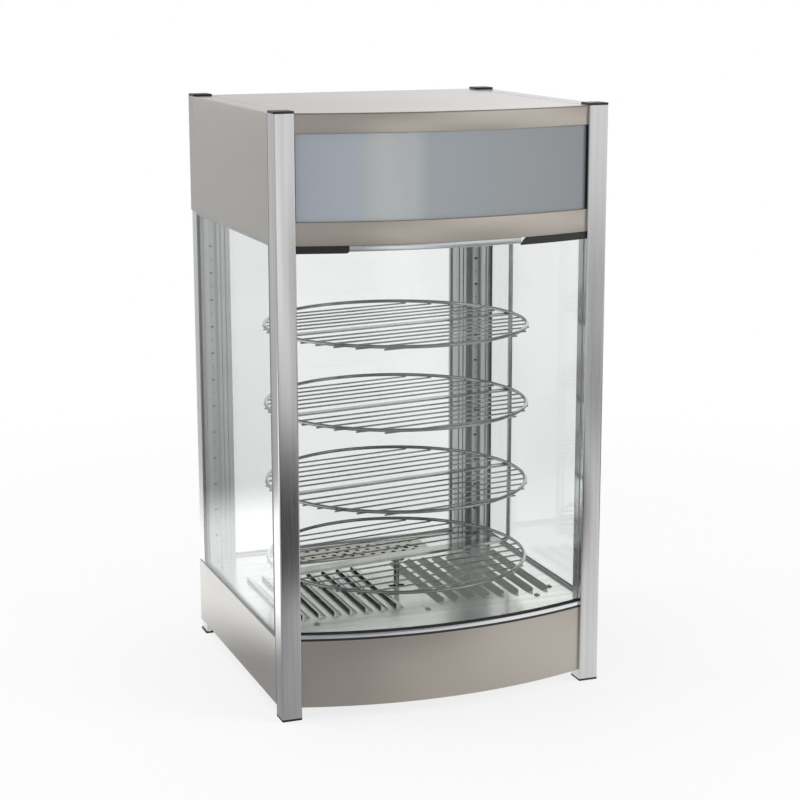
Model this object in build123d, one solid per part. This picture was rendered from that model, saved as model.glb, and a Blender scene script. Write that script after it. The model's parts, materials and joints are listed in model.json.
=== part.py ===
from build123d import *
from math import atan2, cos, degrees, radians, sin, sqrt
import os

os.makedirs("parts", exist_ok=True)

# Heated display merchandiser with a bowed glass front, a turning wire rack and a hinged rear door.
# Millimetres, X to the right, Y to the back, Z up, origin on the floor midway between the four posts.

# Overall sizes
WIDTH = 468.0
DEPTH = 417.0
HEIGHT = 813.0
BOW_RISE = 33.3
BOW_SETBACK = 4.0

# Posts, caps and feet
POST = 28.0
POST_WALL = 2.0
POST_EDGE_R = 2.0
CAP_T = 3.0
PAD_T = 3.0
PLUG_DEPTH = 8.0
CAP_CHAMFER = 1.0
NOTCH_W = 11.0
NOTCH_D = 10.0
GROOVE_W = 2.5
GROOVE_D = 1.2
GROOVE_FROM_SIDE = 8.0

# Sheet metal, glass and fits
SHEET = 1.5
TOP_SHEET = 1.0
FLANGE = 12.0
FIT = 0.1
RUN_GAP = 0.3
GLASS = 4.0
GLASS_INSET = 4.0
GASKET_W = 3.5
GASKET_LIP = 0.5
CUT = 1.0

# Heights from the floor and the header's bands
BASE_BOTTOM = 16.0
FLOOR_Z = 110.0
SEAL_H = 3.0
TRIM_H = 5.5
GASKET_SHOWS = 3.0
TOP_RAIL_H = 25.0
SIGN_H = 112.4
LOWER_RAIL_H = 30.6
SIDE_PANEL_UP = 3.0
SIGN_INSET = 2.5
SIGN_T = 3.0
SIGN_END_GAP = 3.4
GLASS_IN_RAIL = 14.0
TOP_TRIM_H = 8.0
TOP_TRIM_INSET = 1.0
CLIP_H = 10.0
LEFT_CLIP_L = 67.0
RIGHT_CLIP_L = 107.0
RIGHT_CLIP_SLANT = 8.0
CLIP_R = 4.0

# Louvred floor plate and its return-air grille
LOUVRE_L = 205.0
LOUVRE_W = 11.0
LOUVRE_H = 5.5
LOUVRE_PITCH = 23.0
LOUVRE_FIRST = 25.5
LOUVRE_EDGE = 31.0
LOUVRE_MID_Y = -18.5
LOUVRE_LID = 5.0
LOUVRE_CORNER = 0.6
LOUVRE_WALL = 0.9
FLOOR_FLANGE = 12.0
SLOT_L = 23.0
SLOT_W = 9.5
SLOT_R = 3.2
GRILLE_W = 230.0
GRILLE_D = 66.0
GRILLE_T = 1.2
GRILLE_HOLE = 7.5
GRILLE_PITCH = 16.8
GRILLE_ROWS = (8.0, 20.5, 33.5, 52.5)
OVAL_L = 16.0
OVAL_W = 8.0
OVAL_X = -67.5

# Wire rack
TIERS = 4
TIER_PITCH = 113.3
FIRST_TIER = 49.0
RACK_FORWARD = 4.25
SIDE_SWEEP_GAP = 35.3
FRONT_SWEEP_GAP = 15.1
RACK_TURN = 8.2
RING_WIRE = 5.0
RING_SIDES = 48
WIRE = 2.4
WIRE_FIRST = 34.5
WIRE_PITCH = 24.6
WIRE_OVERHANG = 1.8
STRIP_W = 15.0
STRIP_T = 2.0
ROD_D = 6.4
ROD_BEND = 7.0
BAR_W = 22.0
BAR_T = 4.0
BAR_END = 10.0
BAR_CORNER = 6.0
SHAFT_D = 8.0
SHAFT_CLEAR = 0.05
HUB_D = 24.0
HUB_T = 3.0
HUB_SIDES = 16
BUSH_R = 11.0
BUSH_H = 12.0
RACK_HEADROOM = 18.0

# Rear door
DOOR_SIDE_GAP = 6.5
DOOR_FRONT_SETBACK = 10.0
STILE_W = 20.0
DOOR_T = 23.5
DOOR_RAIL_H = 20.0
DOOR_GROOVE = 1.5
DOOR_GROOVE_SHARES = (0.25, 0.6)
DOOR_SLOT_W = 9.0
DOOR_SLOT_D = 8.0
DOOR_GAP = 0.5
PIVOT_IN = 5.5
PIVOT_FROM_REAR = 6.0
PIN_D = 6.0
PIN_L = 8.0
PIN_SIDES = 12
BRACKET_T = 3.0
REAR_PANEL_TOP = 88.0
DOORWAY_TOP = 27.5
PULL_L = 120.0
PULL_W = 16.0
PULL_T = 2.0
PULL_LIP = 12.0
CATCH_W = 30.0
CATCH_H = 14.0
STRIKE_T = 0.8
STRIKE_IN = 1.0

# Shelf standards in the rear posts
STANDARD_W = 10.0
STANDARD_T = 1.5
STANDARD_SLOT_W = 5.0
STANDARD_SLOT_H = 3.0
STANDARD_PITCH = 40.0

# Machinery in the base
GEARBOX = 62.0
GEARBOX_H = 26.0
MOTOR_D = 52.0
MOTOR_H = 38.0
BOSS_D = 20.0
BOSS_H = 10.0
STANDOFF_D = 8.0
STANDOFF_IN = 8.0
MOTOR_DROP = 15.0
MOTOR_SIDES = 24
FAN = 80.0
FAN_H = 25.0
FAN_BORE = 74.0
FAN_TIP_GAP = 1.0
FAN_HUB_D = 30.0
FAN_ROOT_IN = 2.0
FAN_STRUT = 12.0
SPINDLE_D = 3.0
FAN_BLADES = 5
BLADE_PITCH = 35.0
BLADE_T = 1.5
FAN_CHORD = 19.0
HEATER_D = 8.0
HEATER_DROP = 34.0
HEATER_EDGE = 45.0
HEATER_FRONT_IN = 22.5
HEATER_REAR_IN = 11.0
HEATER_BEND = 25.0
HEATER_BEND_CUTS = 3
HEATER_GAP = 60.0
HEATER_CLIP = 10.0

# Controls on the rear panel
KNOB_D = 34.0
KNOB_H = 16.0
KNOB_DISC_H = 6.4
KNOB_FLAT = 3.0
KNOB_GRIP = 10.0
KNOB_SHAFT_D = 6.0
KNOB_X = -110.0
THERMOSTAT = 42.0
THERMOSTAT_D = 28.0
SWITCH_XS = (-45.0, -5.0)
SWITCH_W = 15.0
SWITCH_TALL = 24.0
SWITCH_LIP = 2.0
SWITCH_D = 18.0
ROCKER_W = 9.0
ROCKER_R = 8.0
ROCKER_TILT = 9.0
GLAND_X = 150.0
GLAND_BORE_R = 4.2
GLAND_D = 14.0
GLAND_FLANGE_D = 22.0
GLAND_FLANGE_T = 5.0
GLAND_INSIDE = 9.0

# Sign lamp in the header
LAMP_D = 16.0
LAMP_SIDES = 16
LAMP_FROM_POST = 41.0
LAMP_BEHIND = 62.0
LAMP_HOLDER = 22.0
LAMP_BRACKET_BACK = 14.0

# Values worked out from the sizes above
half_w = WIDTH / 2
half_d = DEPTH / 2
inner_x = half_w - POST
inner_y = half_d - POST
skin_x = half_w - SHEET
post_top = HEIGHT - CAP_T
header_top = post_top - TOP_SHEET
sign_top = header_top - TOP_RAIL_H
sign_bottom = sign_top - SIGN_H
header_bottom = sign_bottom - LOWER_RAIL_H
side_top = header_bottom + SIDE_PANEL_UP
side_low = FLOOR_Z + GASKET_LIP
floor_under = FLOOR_Z - SHEET
pan_bottom = BASE_BOTTOM + SHEET
bow_front = -half_d + BOW_SETBACK - BOW_RISE
bow_r = (inner_x ** 2 + BOW_RISE ** 2) / (2 * BOW_RISE)
bow_y = bow_front + bow_r
panel_x = inner_x - FIT
glass_in_x = half_w - GLASS
seat_x = glass_in_x - GASKET_LIP
plate_x = seat_x - RUN_GAP
base_top = FLOOR_Z - GASKET_LIP
trim_bottom = base_top + SEAL_H
trim_top = trim_bottom + TRIM_H
gasket_top = trim_top + GASKET_SHOWS
glass_foot = trim_bottom + 2 * SHEET
glass_head = header_bottom + GLASS_IN_RAIL
channel = GLASS_INSET + GLASS + SHEET + RUN_GAP
lamp_half = inner_x - LAMP_FROM_POST

door_x = inner_x - DOOR_SIDE_GAP
door_front = half_d - DOOR_FRONT_SETBACK
door_back = door_front + DOOR_T
door_low = REAR_PANEL_TOP + BRACKET_T + DOOR_GAP
upstand_y = inner_y + BRACKET_T
header_back_z = header_bottom + DOORWAY_TOP
door_high = header_back_z - BRACKET_T - DOOR_GAP
pivot_x = door_x - PIVOT_IN
pivot_y = door_back - PIVOT_FROM_REAR
pull_reach = -bow_front
pull_mid_z = (door_low + door_high) / 2

rack_y = (bow_front + GLASS_INSET + GLASS + door_front) / 2 - RACK_FORWARD
glass_gap = rack_y - (bow_front + GLASS_INSET + GLASS)
sweep_r = min(glass_in_x - SIDE_SWEEP_GAP, glass_gap - FRONT_SWEEP_GAP)
rod_r = sweep_r - ROD_D / 2
ring_r = rod_r - ROD_D / 2 - RING_WIRE / 2
tier_levels = [FLOOR_Z + FIRST_TIER + i * TIER_PITCH for i in range(TIERS)]
bar_top = tier_levels[0] - RING_WIRE / 2 - FIT
bar_bottom = bar_top - BAR_T
top_bar_z = header_bottom - RACK_HEADROOM
shaft_foot = floor_under - MOTOR_DROP + SHEET

panel_mid_z = (BASE_BOTTOM + REAR_PANEL_TOP) / 2
fan_y = inner_y + NOTCH_D + BRACKET_T - FAN / 2
grille_front = half_d - 2 * SHEET - DOOR_FRONT_SETBACK - GRILLE_D


def block(x0, x1, y0, y1, z0, z1):
    """A box between two corners."""
    return Pos((x0 + x1) / 2, (y0 + y1) / 2, (z0 + z1) / 2) * Box(x1 - x0, y1 - y0, z1 - z0)


def post_z(shape_2d, z0, z1):
    """A plan outline raised from z0 to z1."""
    return extrude(Pos(0, 0, z0) * shape_2d, amount=z1 - z0, dir=(0, 0, 1))


def rod_z(x, y, radius, z0, z1):
    """An upright cylinder."""
    return Pos(x, y, (z0 + z1) / 2) * Cylinder(radius, z1 - z0)


def rod_y(x, z, radius, y0, y1):
    """A cylinder lying front to back."""
    return Pos(x, (y0 + y1) / 2, z) * Rot(90, 0, 0) * Cylinder(radius, y1 - y0)


def many_sided(x, y, radius, sides, z0, z1):
    """An upright prism whose corners lie at the radius."""
    return post_z(Pos(x, y) * RegularPolygon(radius, sides), z0, z1)


def corner_radius(flat_radius, sides):
    """Radius of a prism's corners from the radius of its flats."""
    return flat_radius / cos(radians(180 / sides))


def flipped(shape):
    """The same piece on the other side of the cabinet."""
    return mirror(shape, about=Plane.YZ)


def plan_rect(x0, x1, y0, y1):
    """A plan rectangle between two corners."""
    return Pos((x0 + x1) / 2, (y0 + y1) / 2) * Rectangle(x1 - x0, y1 - y0)


def bow_disc(inset):
    """The disc whose edge is the bow, set back by inset."""
    return Pos(0, bow_y) * Circle(bow_r - inset)


def bow_band(inset, depth, z0, z1, x0=-panel_x, x1=panel_x):
    """A curved wall that follows the bow between two heights."""
    window = plan_rect(x0, x1, bow_front - FIT, -inner_y + POST)
    return post_z((bow_disc(inset) - bow_disc(inset + depth)) & window, z0, z1)


def inside_plan(inset, side_x, rear_y):
    """The plan between the posts: bowed in front, wider between front and rear posts."""
    middle = bow_disc(inset) & plan_rect(-panel_x, panel_x, bow_front - FIT, rear_y)
    return middle + plan_rect(-side_x, side_x, -inner_y + FIT, inner_y - FIT)


# Posts, caps and foot pads

def front_post():
    """Square tube with rounded edges, right-hand side."""
    plan = RectangleRounded(POST, POST, POST_EDGE_R) - Rectangle(POST - 2 * POST_WALL, POST - 2 * POST_WALL)
    return post_z(Pos(half_w - POST / 2, -half_d + POST / 2) * plan, PAD_T, post_top)


def rear_post():
    """Tube with a notch for the shelf standard and a glazing groove, right-hand side."""
    cut_x = inner_x + NOTCH_W
    cut_y = inner_y + NOTCH_D
    outer = plan_rect(inner_x, skin_x, inner_y, half_d) - plan_rect(inner_x, cut_x, inner_y, cut_y)
    groove_x = half_w - GROOVE_FROM_SIDE
    outer -= plan_rect(groove_x - GROOVE_W, groove_x, inner_y, inner_y + GROOVE_D)
    cavity = plan_rect(inner_x + POST_WALL, skin_x - POST_WALL, cut_y + POST_WALL, half_d - POST_WALL)
    cavity += plan_rect(cut_x + POST_WALL, skin_x - POST_WALL, inner_y + 2 * POST_WALL, half_d - POST_WALL)
    return post_z(outer - cavity, PAD_T, post_top)


def end_cover(inner_z, outer_z):
    """Four post end covers, each with a plug inside its tube."""
    square = Rectangle(POST, POST)
    square = chamfer(square.vertices(), CAP_CHAMFER)
    front = Pos(half_w - POST / 2, -half_d + POST / 2) * square
    rear = Pos(half_w - POST / 2, half_d - POST / 2) * square
    side = 1 if inner_z < outer_z else -1
    low, high = sorted((inner_z, outer_z))
    plug_low, plug_high = sorted((inner_z, inner_z - side * PLUG_DEPTH))
    plug = POST_WALL + FIT
    front_plug = block(inner_x + plug, half_w - plug, -half_d + plug, -inner_y - plug, plug_low, plug_high)
    rear_plug = block(inner_x + NOTCH_W + plug, skin_x - plug, inner_y + NOTCH_D + plug, half_d - plug,
                      plug_low, plug_high)
    pair = [post_z(front, low, high) + front_plug, post_z(rear, low, high) + rear_plug]
    return Compound(children=pair + [flipped(piece) for piece in pair])


# Bowed front, from the base up

def base_front_panel():
    """Folded sheet with a flange along its top and bottom."""
    skin = bow_band(0, SHEET, BASE_BOTTOM, base_top)
    skin += bow_band(0, FLANGE, BASE_BOTTOM, pan_bottom)
    return skin + bow_band(0, FLANGE, base_top - SHEET, base_top)


def glass_bottom_trim():
    """Bright channel that the front glass stands in."""
    outer = bow_band(0, channel, trim_bottom, trim_top)
    return outer - bow_band(SHEET, channel - 2 * SHEET, trim_bottom + SHEET, trim_top)


def front_glass_gasket():
    """Rubber channel between the trim and the glass."""
    rubber = bow_band(SHEET, channel - 2 * SHEET, trim_bottom + SHEET, gasket_top)
    return rubber - bow_band(GLASS_INSET, GLASS, glass_foot, gasket_top)


def front_seals():
    """Black strips: one under the bright trim and one at each end of the sign."""
    base = bow_band(GASKET_LIP, channel, base_top, trim_bottom)
    strip_x = panel_x - SIGN_END_GAP
    strip = bow_band(SIGN_INSET, SIGN_T, sign_bottom, sign_top, strip_x, panel_x)
    return Compound(children=[base, strip, flipped(strip)])


def header_bottom_rail():
    """Inverted channel that the front glass's top edge stands in."""
    rail = bow_band(0, SHEET, header_bottom, sign_bottom)
    rail += bow_band(0, channel, sign_bottom - SHEET, sign_bottom)
    return rail + bow_band(channel - SHEET, SHEET, side_top, sign_bottom)


def sign_panel():
    """Bowed acrylic sheet between the rails."""
    end_x = panel_x - SIGN_END_GAP
    return bow_band(SIGN_INSET, SIGN_T, sign_bottom, sign_top, -end_x, end_x)


def header_top_rail():
    """Folded rail over the sign."""
    rail = bow_band(0, SHEET, sign_top, header_top)
    rail += bow_band(0, FLANGE, sign_top, sign_top + SHEET)
    return rail + bow_band(0, FLANGE, header_top - SHEET, header_top)


def glass_top_gasket():
    """Packing between the header's lower rail and the glass."""
    return bow_band(SHEET, GLASS_INSET - SHEET, header_bottom, glass_head)


def glass_top_trim():
    """Edge trim on the glass, between the two clips."""
    reach = inner_x - RIGHT_CLIP_L
    low = header_bottom - TOP_TRIM_H
    depth = GLASS_INSET - TOP_TRIM_INSET
    return bow_band(TOP_TRIM_INSET, depth, low, header_bottom, -inner_x + LEFT_CLIP_L, reach)


def front_glass_clips():
    """Black clips at the glass's top corners, the left one rounded and the right one slanted."""
    low = header_bottom - CLIP_H
    left = bow_band(0, GLASS_INSET, low, header_bottom, -panel_x, -inner_x + LEFT_CLIP_L)
    left = round_clip(left)
    right_start = inner_x - RIGHT_CLIP_L
    right = bow_band(0, GLASS_INSET, low, header_bottom, right_start, panel_x)
    slant = Plane.XZ * Polygon((right_start, header_bottom), (right_start, low),
                               (right_start + RIGHT_CLIP_SLANT, header_bottom), align=None)
    right -= extrude(slant, amount=DEPTH, both=True)
    return Compound(children=[left, right])


def round_clip(clip):
    """Round the lower inner corner of the left clip."""
    end_x = -inner_x + LEFT_CLIP_L
    low = header_bottom - CLIP_H
    corner = Pos(end_x - CLIP_R / 2, low + CLIP_R / 2) * Rectangle(CLIP_R, CLIP_R)
    corner -= Pos(end_x - CLIP_R, low + CLIP_R) * Circle(CLIP_R)
    return clip - extrude(Plane.XZ * corner, amount=DEPTH, both=True)


# Sides, top and ceiling

def side_gasket():
    """Rubber frame round the right-hand glass."""
    y1 = inner_y - FIT
    frame = block(seat_x, half_w, -y1, y1, side_low, side_top)
    y1 -= GASKET_W
    return frame - block(glass_in_x - CUT, half_w, -y1, y1, side_low + GASKET_W, side_top - GASKET_W)


def side_glass():
    """Flat pane, flush with the posts."""
    y1 = inner_y - FIT - GASKET_W
    return block(glass_in_x, half_w, -y1, y1, side_low + GASKET_W, side_top - GASKET_W)


def upper_side_panel():
    """Folded sheet beside the header, lapping the rear post."""
    y1 = inner_y - FIT
    panel = block(skin_x, half_w, -y1, half_d, side_top, post_top)
    panel += block(inner_x, half_w, -y1, y1, post_top - SHEET, post_top)
    return panel + block(skin_x - FLANGE, half_w, -y1, y1, side_top, side_top + SHEET)


def lower_side_panel():
    """Folded sheet beside the base, with the ledge that the floor plate stands on."""
    y1 = inner_y - FIT
    ledge = FLOOR_Z - FLOOR_FLANGE
    panel = block(skin_x, half_w, -y1, half_d, BASE_BOTTOM, side_low)
    panel += block(seat_x, half_w, -y1, y1, side_low - SHEET, side_low)
    panel += block(skin_x - FLANGE, half_w, -y1, y1, ledge - SHEET, ledge)
    return panel + block(skin_x - FLANGE, half_w, -y1, y1, BASE_BOTTOM, pan_bottom)


def top_panel():
    """Bowed lid sheet between the side flanges."""
    plan = bow_disc(0) & plan_rect(-panel_x, panel_x, bow_front - FIT, half_d)
    return post_z(plan, header_top, post_top)


def ceiling_panel():
    """Sheet over the display space, turned up behind, with the rack bushing's hole."""
    plan = inside_plan(channel - SHEET, seat_x - RUN_GAP, upstand_y + SHEET)
    sheet = post_z(plan, side_top - SHEET, side_top)
    sheet += block(-panel_x, panel_x, upstand_y, upstand_y + SHEET, side_top - SHEET, header_back_z)
    hole = corner_radius(SHAFT_D / 2 + CUT, PIN_SIDES)
    return sheet - many_sided(0, rack_y, hole, PIN_SIDES, side_top - 2 * SHEET, side_top + SHEET)


def rear_header_panel():
    """Folded sheet over the door."""
    panel = block(-panel_x, panel_x, half_d - SHEET, half_d, header_back_z, header_top)
    panel += block(-panel_x, panel_x, upstand_y, half_d, header_back_z, header_back_z + SHEET)
    return panel + block(-panel_x, panel_x, half_d - FLANGE, half_d, header_top - SHEET, header_top)


def ceiling_bushing():
    """Hexagonal bush on the ceiling for the rack's upper pin."""
    hexagon = Pos(0, rack_y) * RegularPolygon(BUSH_R, 6)
    bush = post_z(hexagon, side_top, side_top + BUSH_H)
    return bush - rod_z(0, rack_y, SHAFT_D / 2 + SHAFT_CLEAR, side_top - CUT, side_top + BUSH_H + CUT)


def sign_lamp():
    """Straight lamp behind the sign."""
    lamp_y = bow_front + LAMP_BEHIND
    lamp_z = (sign_bottom + sign_top) / 2
    section = Plane.YZ * (Pos(lamp_y, lamp_z) * RegularPolygon(LAMP_D / 2, LAMP_SIDES))
    return extrude(section, amount=lamp_half, both=True)


def lamp_bracket():
    """Bent sheet on the ceiling that carries both lamp holders."""
    lamp_y = bow_front + LAMP_BEHIND
    lamp_z = (sign_bottom + sign_top) / 2
    half = LAMP_HOLDER / 2
    end_x = lamp_half + half
    back_y = lamp_y + LAMP_BRACKET_BACK
    sheet = block(-end_x, end_x, back_y, back_y + SHEET, side_top, lamp_z + half)
    sheet += block(-end_x, end_x, back_y, back_y + FLANGE, side_top, side_top + SHEET)
    for end in (-1, 1):
        x0, x1 = sorted((end * lamp_half, end * end_x))
        sheet += block(x0, x1, lamp_y - half, back_y, lamp_z - half, lamp_z + half)
    return sheet


# Floor plate, grille and base

def louvre_plan(inset):
    """Plan of a louvre whose mouth is on the Y axis, closed towards +X with chamfered ends."""
    width = LOUVRE_W - inset
    whole = Rectangle(2 * width, LOUVRE_L - 2 * inset)
    return chamfer(whole.vertices(), width * LOUVRE_CORNER)


def hood(inset, height):
    """Solid form of a louvre: a lid that slopes down to the plate behind and at both ends."""
    slope = degrees(atan2(LOUVRE_W - LOUVRE_LID, LOUVRE_H))
    form = extrude(louvre_plan(inset), amount=height, taper=slope)
    return form & block(0, LOUVRE_W, -LOUVRE_L / 2, LOUVRE_L / 2, 0, LOUVRE_H)


def louvres():
    """Every louvre's place: the mouth's X and the side that it faces."""
    reach = plate_x - LOUVRE_EDGE - LOUVRE_FIRST - LOUVRE_W
    count = int(reach / LOUVRE_PITCH) + 1
    places = []
    for side in (1, -1):
        for i in range(count):
            places.append((side * (LOUVRE_FIRST + LOUVRE_W + i * LOUVRE_PITCH), side))
    return places


def floor_plate():
    """Embossed plate: louvres facing outwards each side, a slot for the shaft, turned-down edges."""
    rear = door_front - SHEET
    plan = inside_plan(FLANGE + RUN_GAP, plate_x, rear)
    plate = post_z(plan, FLOOR_Z - SHEET, FLOOR_Z)
    y1 = inner_y - FIT
    drop = FLOOR_Z - FLOOR_FLANGE
    for side in (-1, 1):
        x0, x1 = sorted((side * plate_x, side * (plate_x - SHEET)))
        plate += block(x0, x1, -y1, y1, drop, FLOOR_Z)
    plate += block(-panel_x, panel_x, rear - SHEET, rear, REAR_PANEL_TOP, FLOOR_Z)
    shell = Pos(0, 0, FLOOR_Z) * (hood(0, LOUVRE_H) - hood(2 * LOUVRE_WALL, LOUVRE_H - LOUVRE_WALL))
    half_plan = louvre_plan(2 * LOUVRE_WALL) & plan_rect(0, LOUVRE_W, -LOUVRE_L / 2, LOUVRE_L / 2)
    slit = post_z(half_plan, floor_under - SHEET, FLOOR_Z)
    for x, side in louvres():
        turn = Rot(0, 0, 180 if side > 0 else 0)
        place = Pos(x, LOUVRE_MID_Y) * turn
        plate = plate - place * slit + place * shell
    slot = Pos(0, rack_y) * RectangleRounded(SLOT_L, SLOT_W, SLOT_R)
    plate -= post_z(slot, floor_under - SHEET, FLOOR_Z + SHEET)
    vent = plan_rect(-GRILLE_W / 2 + FLANGE / 2, GRILLE_W / 2 - FLANGE / 2,
                     grille_front + FLANGE / 2, grille_front + GRILLE_D - FLANGE / 2)
    return plate - post_z(vent, floor_under - SHEET, FLOOR_Z + SHEET)


def return_air_grille():
    """Perforated plate over the fan, with staggered rows of holes and one finger slot."""
    plate = plan_rect(-GRILLE_W / 2, GRILLE_W / 2, grille_front, grille_front + GRILLE_D)
    holes = []
    per_row = int((GRILLE_W - GRILLE_PITCH) / GRILLE_PITCH)
    for row, row_y in enumerate(GRILLE_ROWS):
        shift = (row % 2 - 1 / 2) * GRILLE_PITCH / 2
        for i in range(per_row):
            x = (i - (per_row - 1) / 2) * GRILLE_PITCH + shift
            if row == len(GRILLE_ROWS) // 2 and abs(x - OVAL_X) < OVAL_L:
                continue
            holes.append(Pos(x, grille_front + row_y) * RegularPolygon(GRILLE_HOLE / 2, 6))
    oval = Pos(OVAL_X, grille_front + GRILLE_ROWS[len(GRILLE_ROWS) // 2]) * SlotOverall(OVAL_L, OVAL_W)
    return post_z(plate - holes - oval, FLOOR_Z, FLOOR_Z + GRILLE_T)


def base_pan():
    """Bottom sheet standing on the panels' flanges."""
    plan = inside_plan(SHEET + RUN_GAP, skin_x - FIT, half_d - SHEET - FIT)
    return post_z(plan, pan_bottom, pan_bottom + SHEET)


def shelf_standard():
    """Slotted strip in the right-hand rear post's notch."""
    x0 = inner_x + (NOTCH_W - STANDARD_W) / 2
    back = inner_y + NOTCH_D
    low = FLOOR_Z + SHEET
    high = side_top - 2 * SHEET
    strip = block(x0, x0 + STANDARD_W, back - STANDARD_T, back, low, high)
    slot_x = x0 + (STANDARD_W - STANDARD_SLOT_W) / 2
    y0 = back - STANDARD_T - CUT
    count = int((high - low) / STANDARD_PITCH)
    for i in range(count):
        z = low + STANDARD_PITCH * (i + 1 / 2) - STANDARD_SLOT_H / 2
        strip -= block(slot_x, slot_x + STANDARD_SLOT_W, y0, back + CUT, z, z + STANDARD_SLOT_H)
    return strip


def rack_gearmotor():
    """Gearbox on four standoffs under the floor plate, with its motor below and a bored boss above."""
    top = floor_under - MOTOR_DROP
    low = top - GEARBOX_H
    half = GEARBOX / 2
    body = block(-half, half, rack_y - half, rack_y + half, low, top)
    body += many_sided(0, rack_y, MOTOR_D / 2, MOTOR_SIDES, low - MOTOR_H, low)
    body += many_sided(0, rack_y, BOSS_D / 2, HUB_SIDES, top, top + BOSS_H)
    for sx in (-1, 1):
        for sy in (-1, 1):
            x = sx * (half - STANDOFF_IN)
            y = rack_y + sy * (half - STANDOFF_IN)
            body += many_sided(x, y, STANDOFF_D / 2, 6, top, floor_under)
    return body - rod_z(0, rack_y, SHAFT_D / 2 + SHAFT_CLEAR, top - SHEET, top + 2 * BOSS_H)


def fan_housing():
    """Square fan frame under the grille, with the strut that carries its spindle."""
    half = FAN / 2
    low = floor_under - FAN_H
    frame = block(-half, half, fan_y - half, fan_y + half, low, floor_under)
    bore = corner_radius(FAN_BORE / 2, MOTOR_SIDES)
    frame -= many_sided(0, fan_y, bore, MOTOR_SIDES, low - CUT, floor_under + CUT)
    strut = block(-FAN_BORE / 2 - CUT, FAN_BORE / 2 + CUT, fan_y - FAN_STRUT / 2, fan_y + FAN_STRUT / 2,
                  low, low + 2 * SHEET)
    return frame + strut + many_sided(0, fan_y, SPINDLE_D / 2, PIN_SIDES, low, floor_under - 3 * SHEET)


def fan_impeller():
    """Hub with pitched blades on the fan's spindle."""
    low = floor_under - FAN_H + 3 * SHEET
    high = floor_under - 2 * SHEET
    half_chord = FAN_CHORD / 2 * cos(radians(BLADE_PITCH)) + BLADE_T
    tip = sqrt((FAN_BORE / 2 - FAN_TIP_GAP) ** 2 - half_chord ** 2)
    root = FAN_HUB_D / 2 - FAN_ROOT_IN
    wheel = many_sided(0, 0, FAN_HUB_D / 2, FAN_BLADES * 4, low, high)
    flat_blade = Box(tip - root, FAN_CHORD, BLADE_T)
    blade = Pos((root + tip) / 2, 0, (low + high) / 2) * Rot(BLADE_PITCH, 0, 0) * flat_blade
    for i in range(FAN_BLADES):
        wheel += Rot(0, 0, i * 360 / FAN_BLADES) * blade
    bore = corner_radius(SPINDLE_D / 2 + SHAFT_CLEAR, PIN_SIDES)
    return Pos(0, fan_y) * (wheel - many_sided(0, 0, bore, PIN_SIDES, low - CUT, high - SHEET))


def heater_bend(x, y, start):
    """Places round one of the heater's corners, from a starting angle."""
    step = 90 / HEATER_BEND_CUTS
    angles = [radians(start + step * (i + 1 / 2)) for i in range(HEATER_BEND_CUTS)]
    reach = HEATER_BEND / cos(radians(step / 2))
    return [(x + reach * cos(a), y + reach * sin(a)) for a in angles]


def heating_element():
    """Bent tube heater under the louvres, hung in clips from the floor plate."""
    z = floor_under - HEATER_DROP
    x1 = plate_x - HEATER_EDGE
    y0 = LOUVRE_MID_Y - LOUVRE_L / 2 + HEATER_FRONT_IN
    y1 = LOUVRE_MID_Y + LOUVRE_L / 2 - HEATER_REAR_IN
    in_x = x1 - HEATER_BEND
    right = heater_bend(in_x, y1 - HEATER_BEND, 0)[::-1] + heater_bend(in_x, y0 + HEATER_BEND, 270)[::-1]
    left = [(-x, y) for x, y in reversed(right)]
    route = [(HEATER_GAP, y1)] + right + left + [(-HEATER_GAP, y1)]
    path = Polyline(*[(x, y, z) for x, y in route])
    start = Plane(origin=(HEATER_GAP, y1, z), x_dir=(0, 1, 0), z_dir=(1, 0, 0))
    tube = sweep(start * RegularPolygon(HEATER_D / 2, 6), path=path, transition=Transition.RIGHT)
    pieces = [tube]
    half = HEATER_CLIP / 2
    for sx in (-1, 1):
        for y in (y0, y1):
            x = sx * (x1 + HEATER_GAP) / 2
            under = z - HEATER_D / 2 * cos(radians(30))
            clip = block(x - half, x + half, y - half, y + half, under - SHEET, under)
            clip += block(x - half, x + half, y - half - SHEET, y - half, under - SHEET, floor_under)
            pieces.append(clip)
    return Compound(children=pieces)


# Rack

def hex_points(across_flats):
    """Corner distance of a hexagon from its width across flats."""
    return across_flats / sqrt(3)


def ring(level):
    """Rim of a tier, many-sided so that its facets stay few."""
    half = RING_WIRE / 2
    plan = RegularPolygon(ring_r + half, RING_SIDES) - RegularPolygon(ring_r - half, RING_SIDES)
    return post_z(plan, level - half, level + half)


def straight_wire(offset, z):
    """A wire of a tier, lying along X at a distance from the middle."""
    half = sqrt((ring_r + RING_WIRE / 2 + WIRE_OVERHANG) ** 2 - offset ** 2)
    section = Plane.YZ * RegularPolygon(hex_points(WIRE), 6)
    return Pos(0, offset, z) * extrude(section, amount=half, both=True)


def on_rack(piece):
    """Place a piece drawn about the rack's axis, with its bar along X."""
    return Pos(0, rack_y, 0) * Rot(0, 0, RACK_TURN) * piece


def tier(index):
    """A ring with its wires under it and, above the lowest, a flat strip across."""
    level = tier_levels[index]
    under = level - RING_WIRE / 2
    shelf = ring(level)
    offset = WIRE_FIRST
    while offset < ring_r - WIRE_PITCH:
        for side in (-1, 1):
            shelf += straight_wire(side * offset, under - WIRE / 2)
        offset += WIRE_PITCH
    if index > 0:
        reach = rod_r - ROD_D / 2
        shelf += block(-reach, reach, -STRIP_W / 2, STRIP_W / 2, under - STRIP_T, under)
    return on_rack(shelf)


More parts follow.
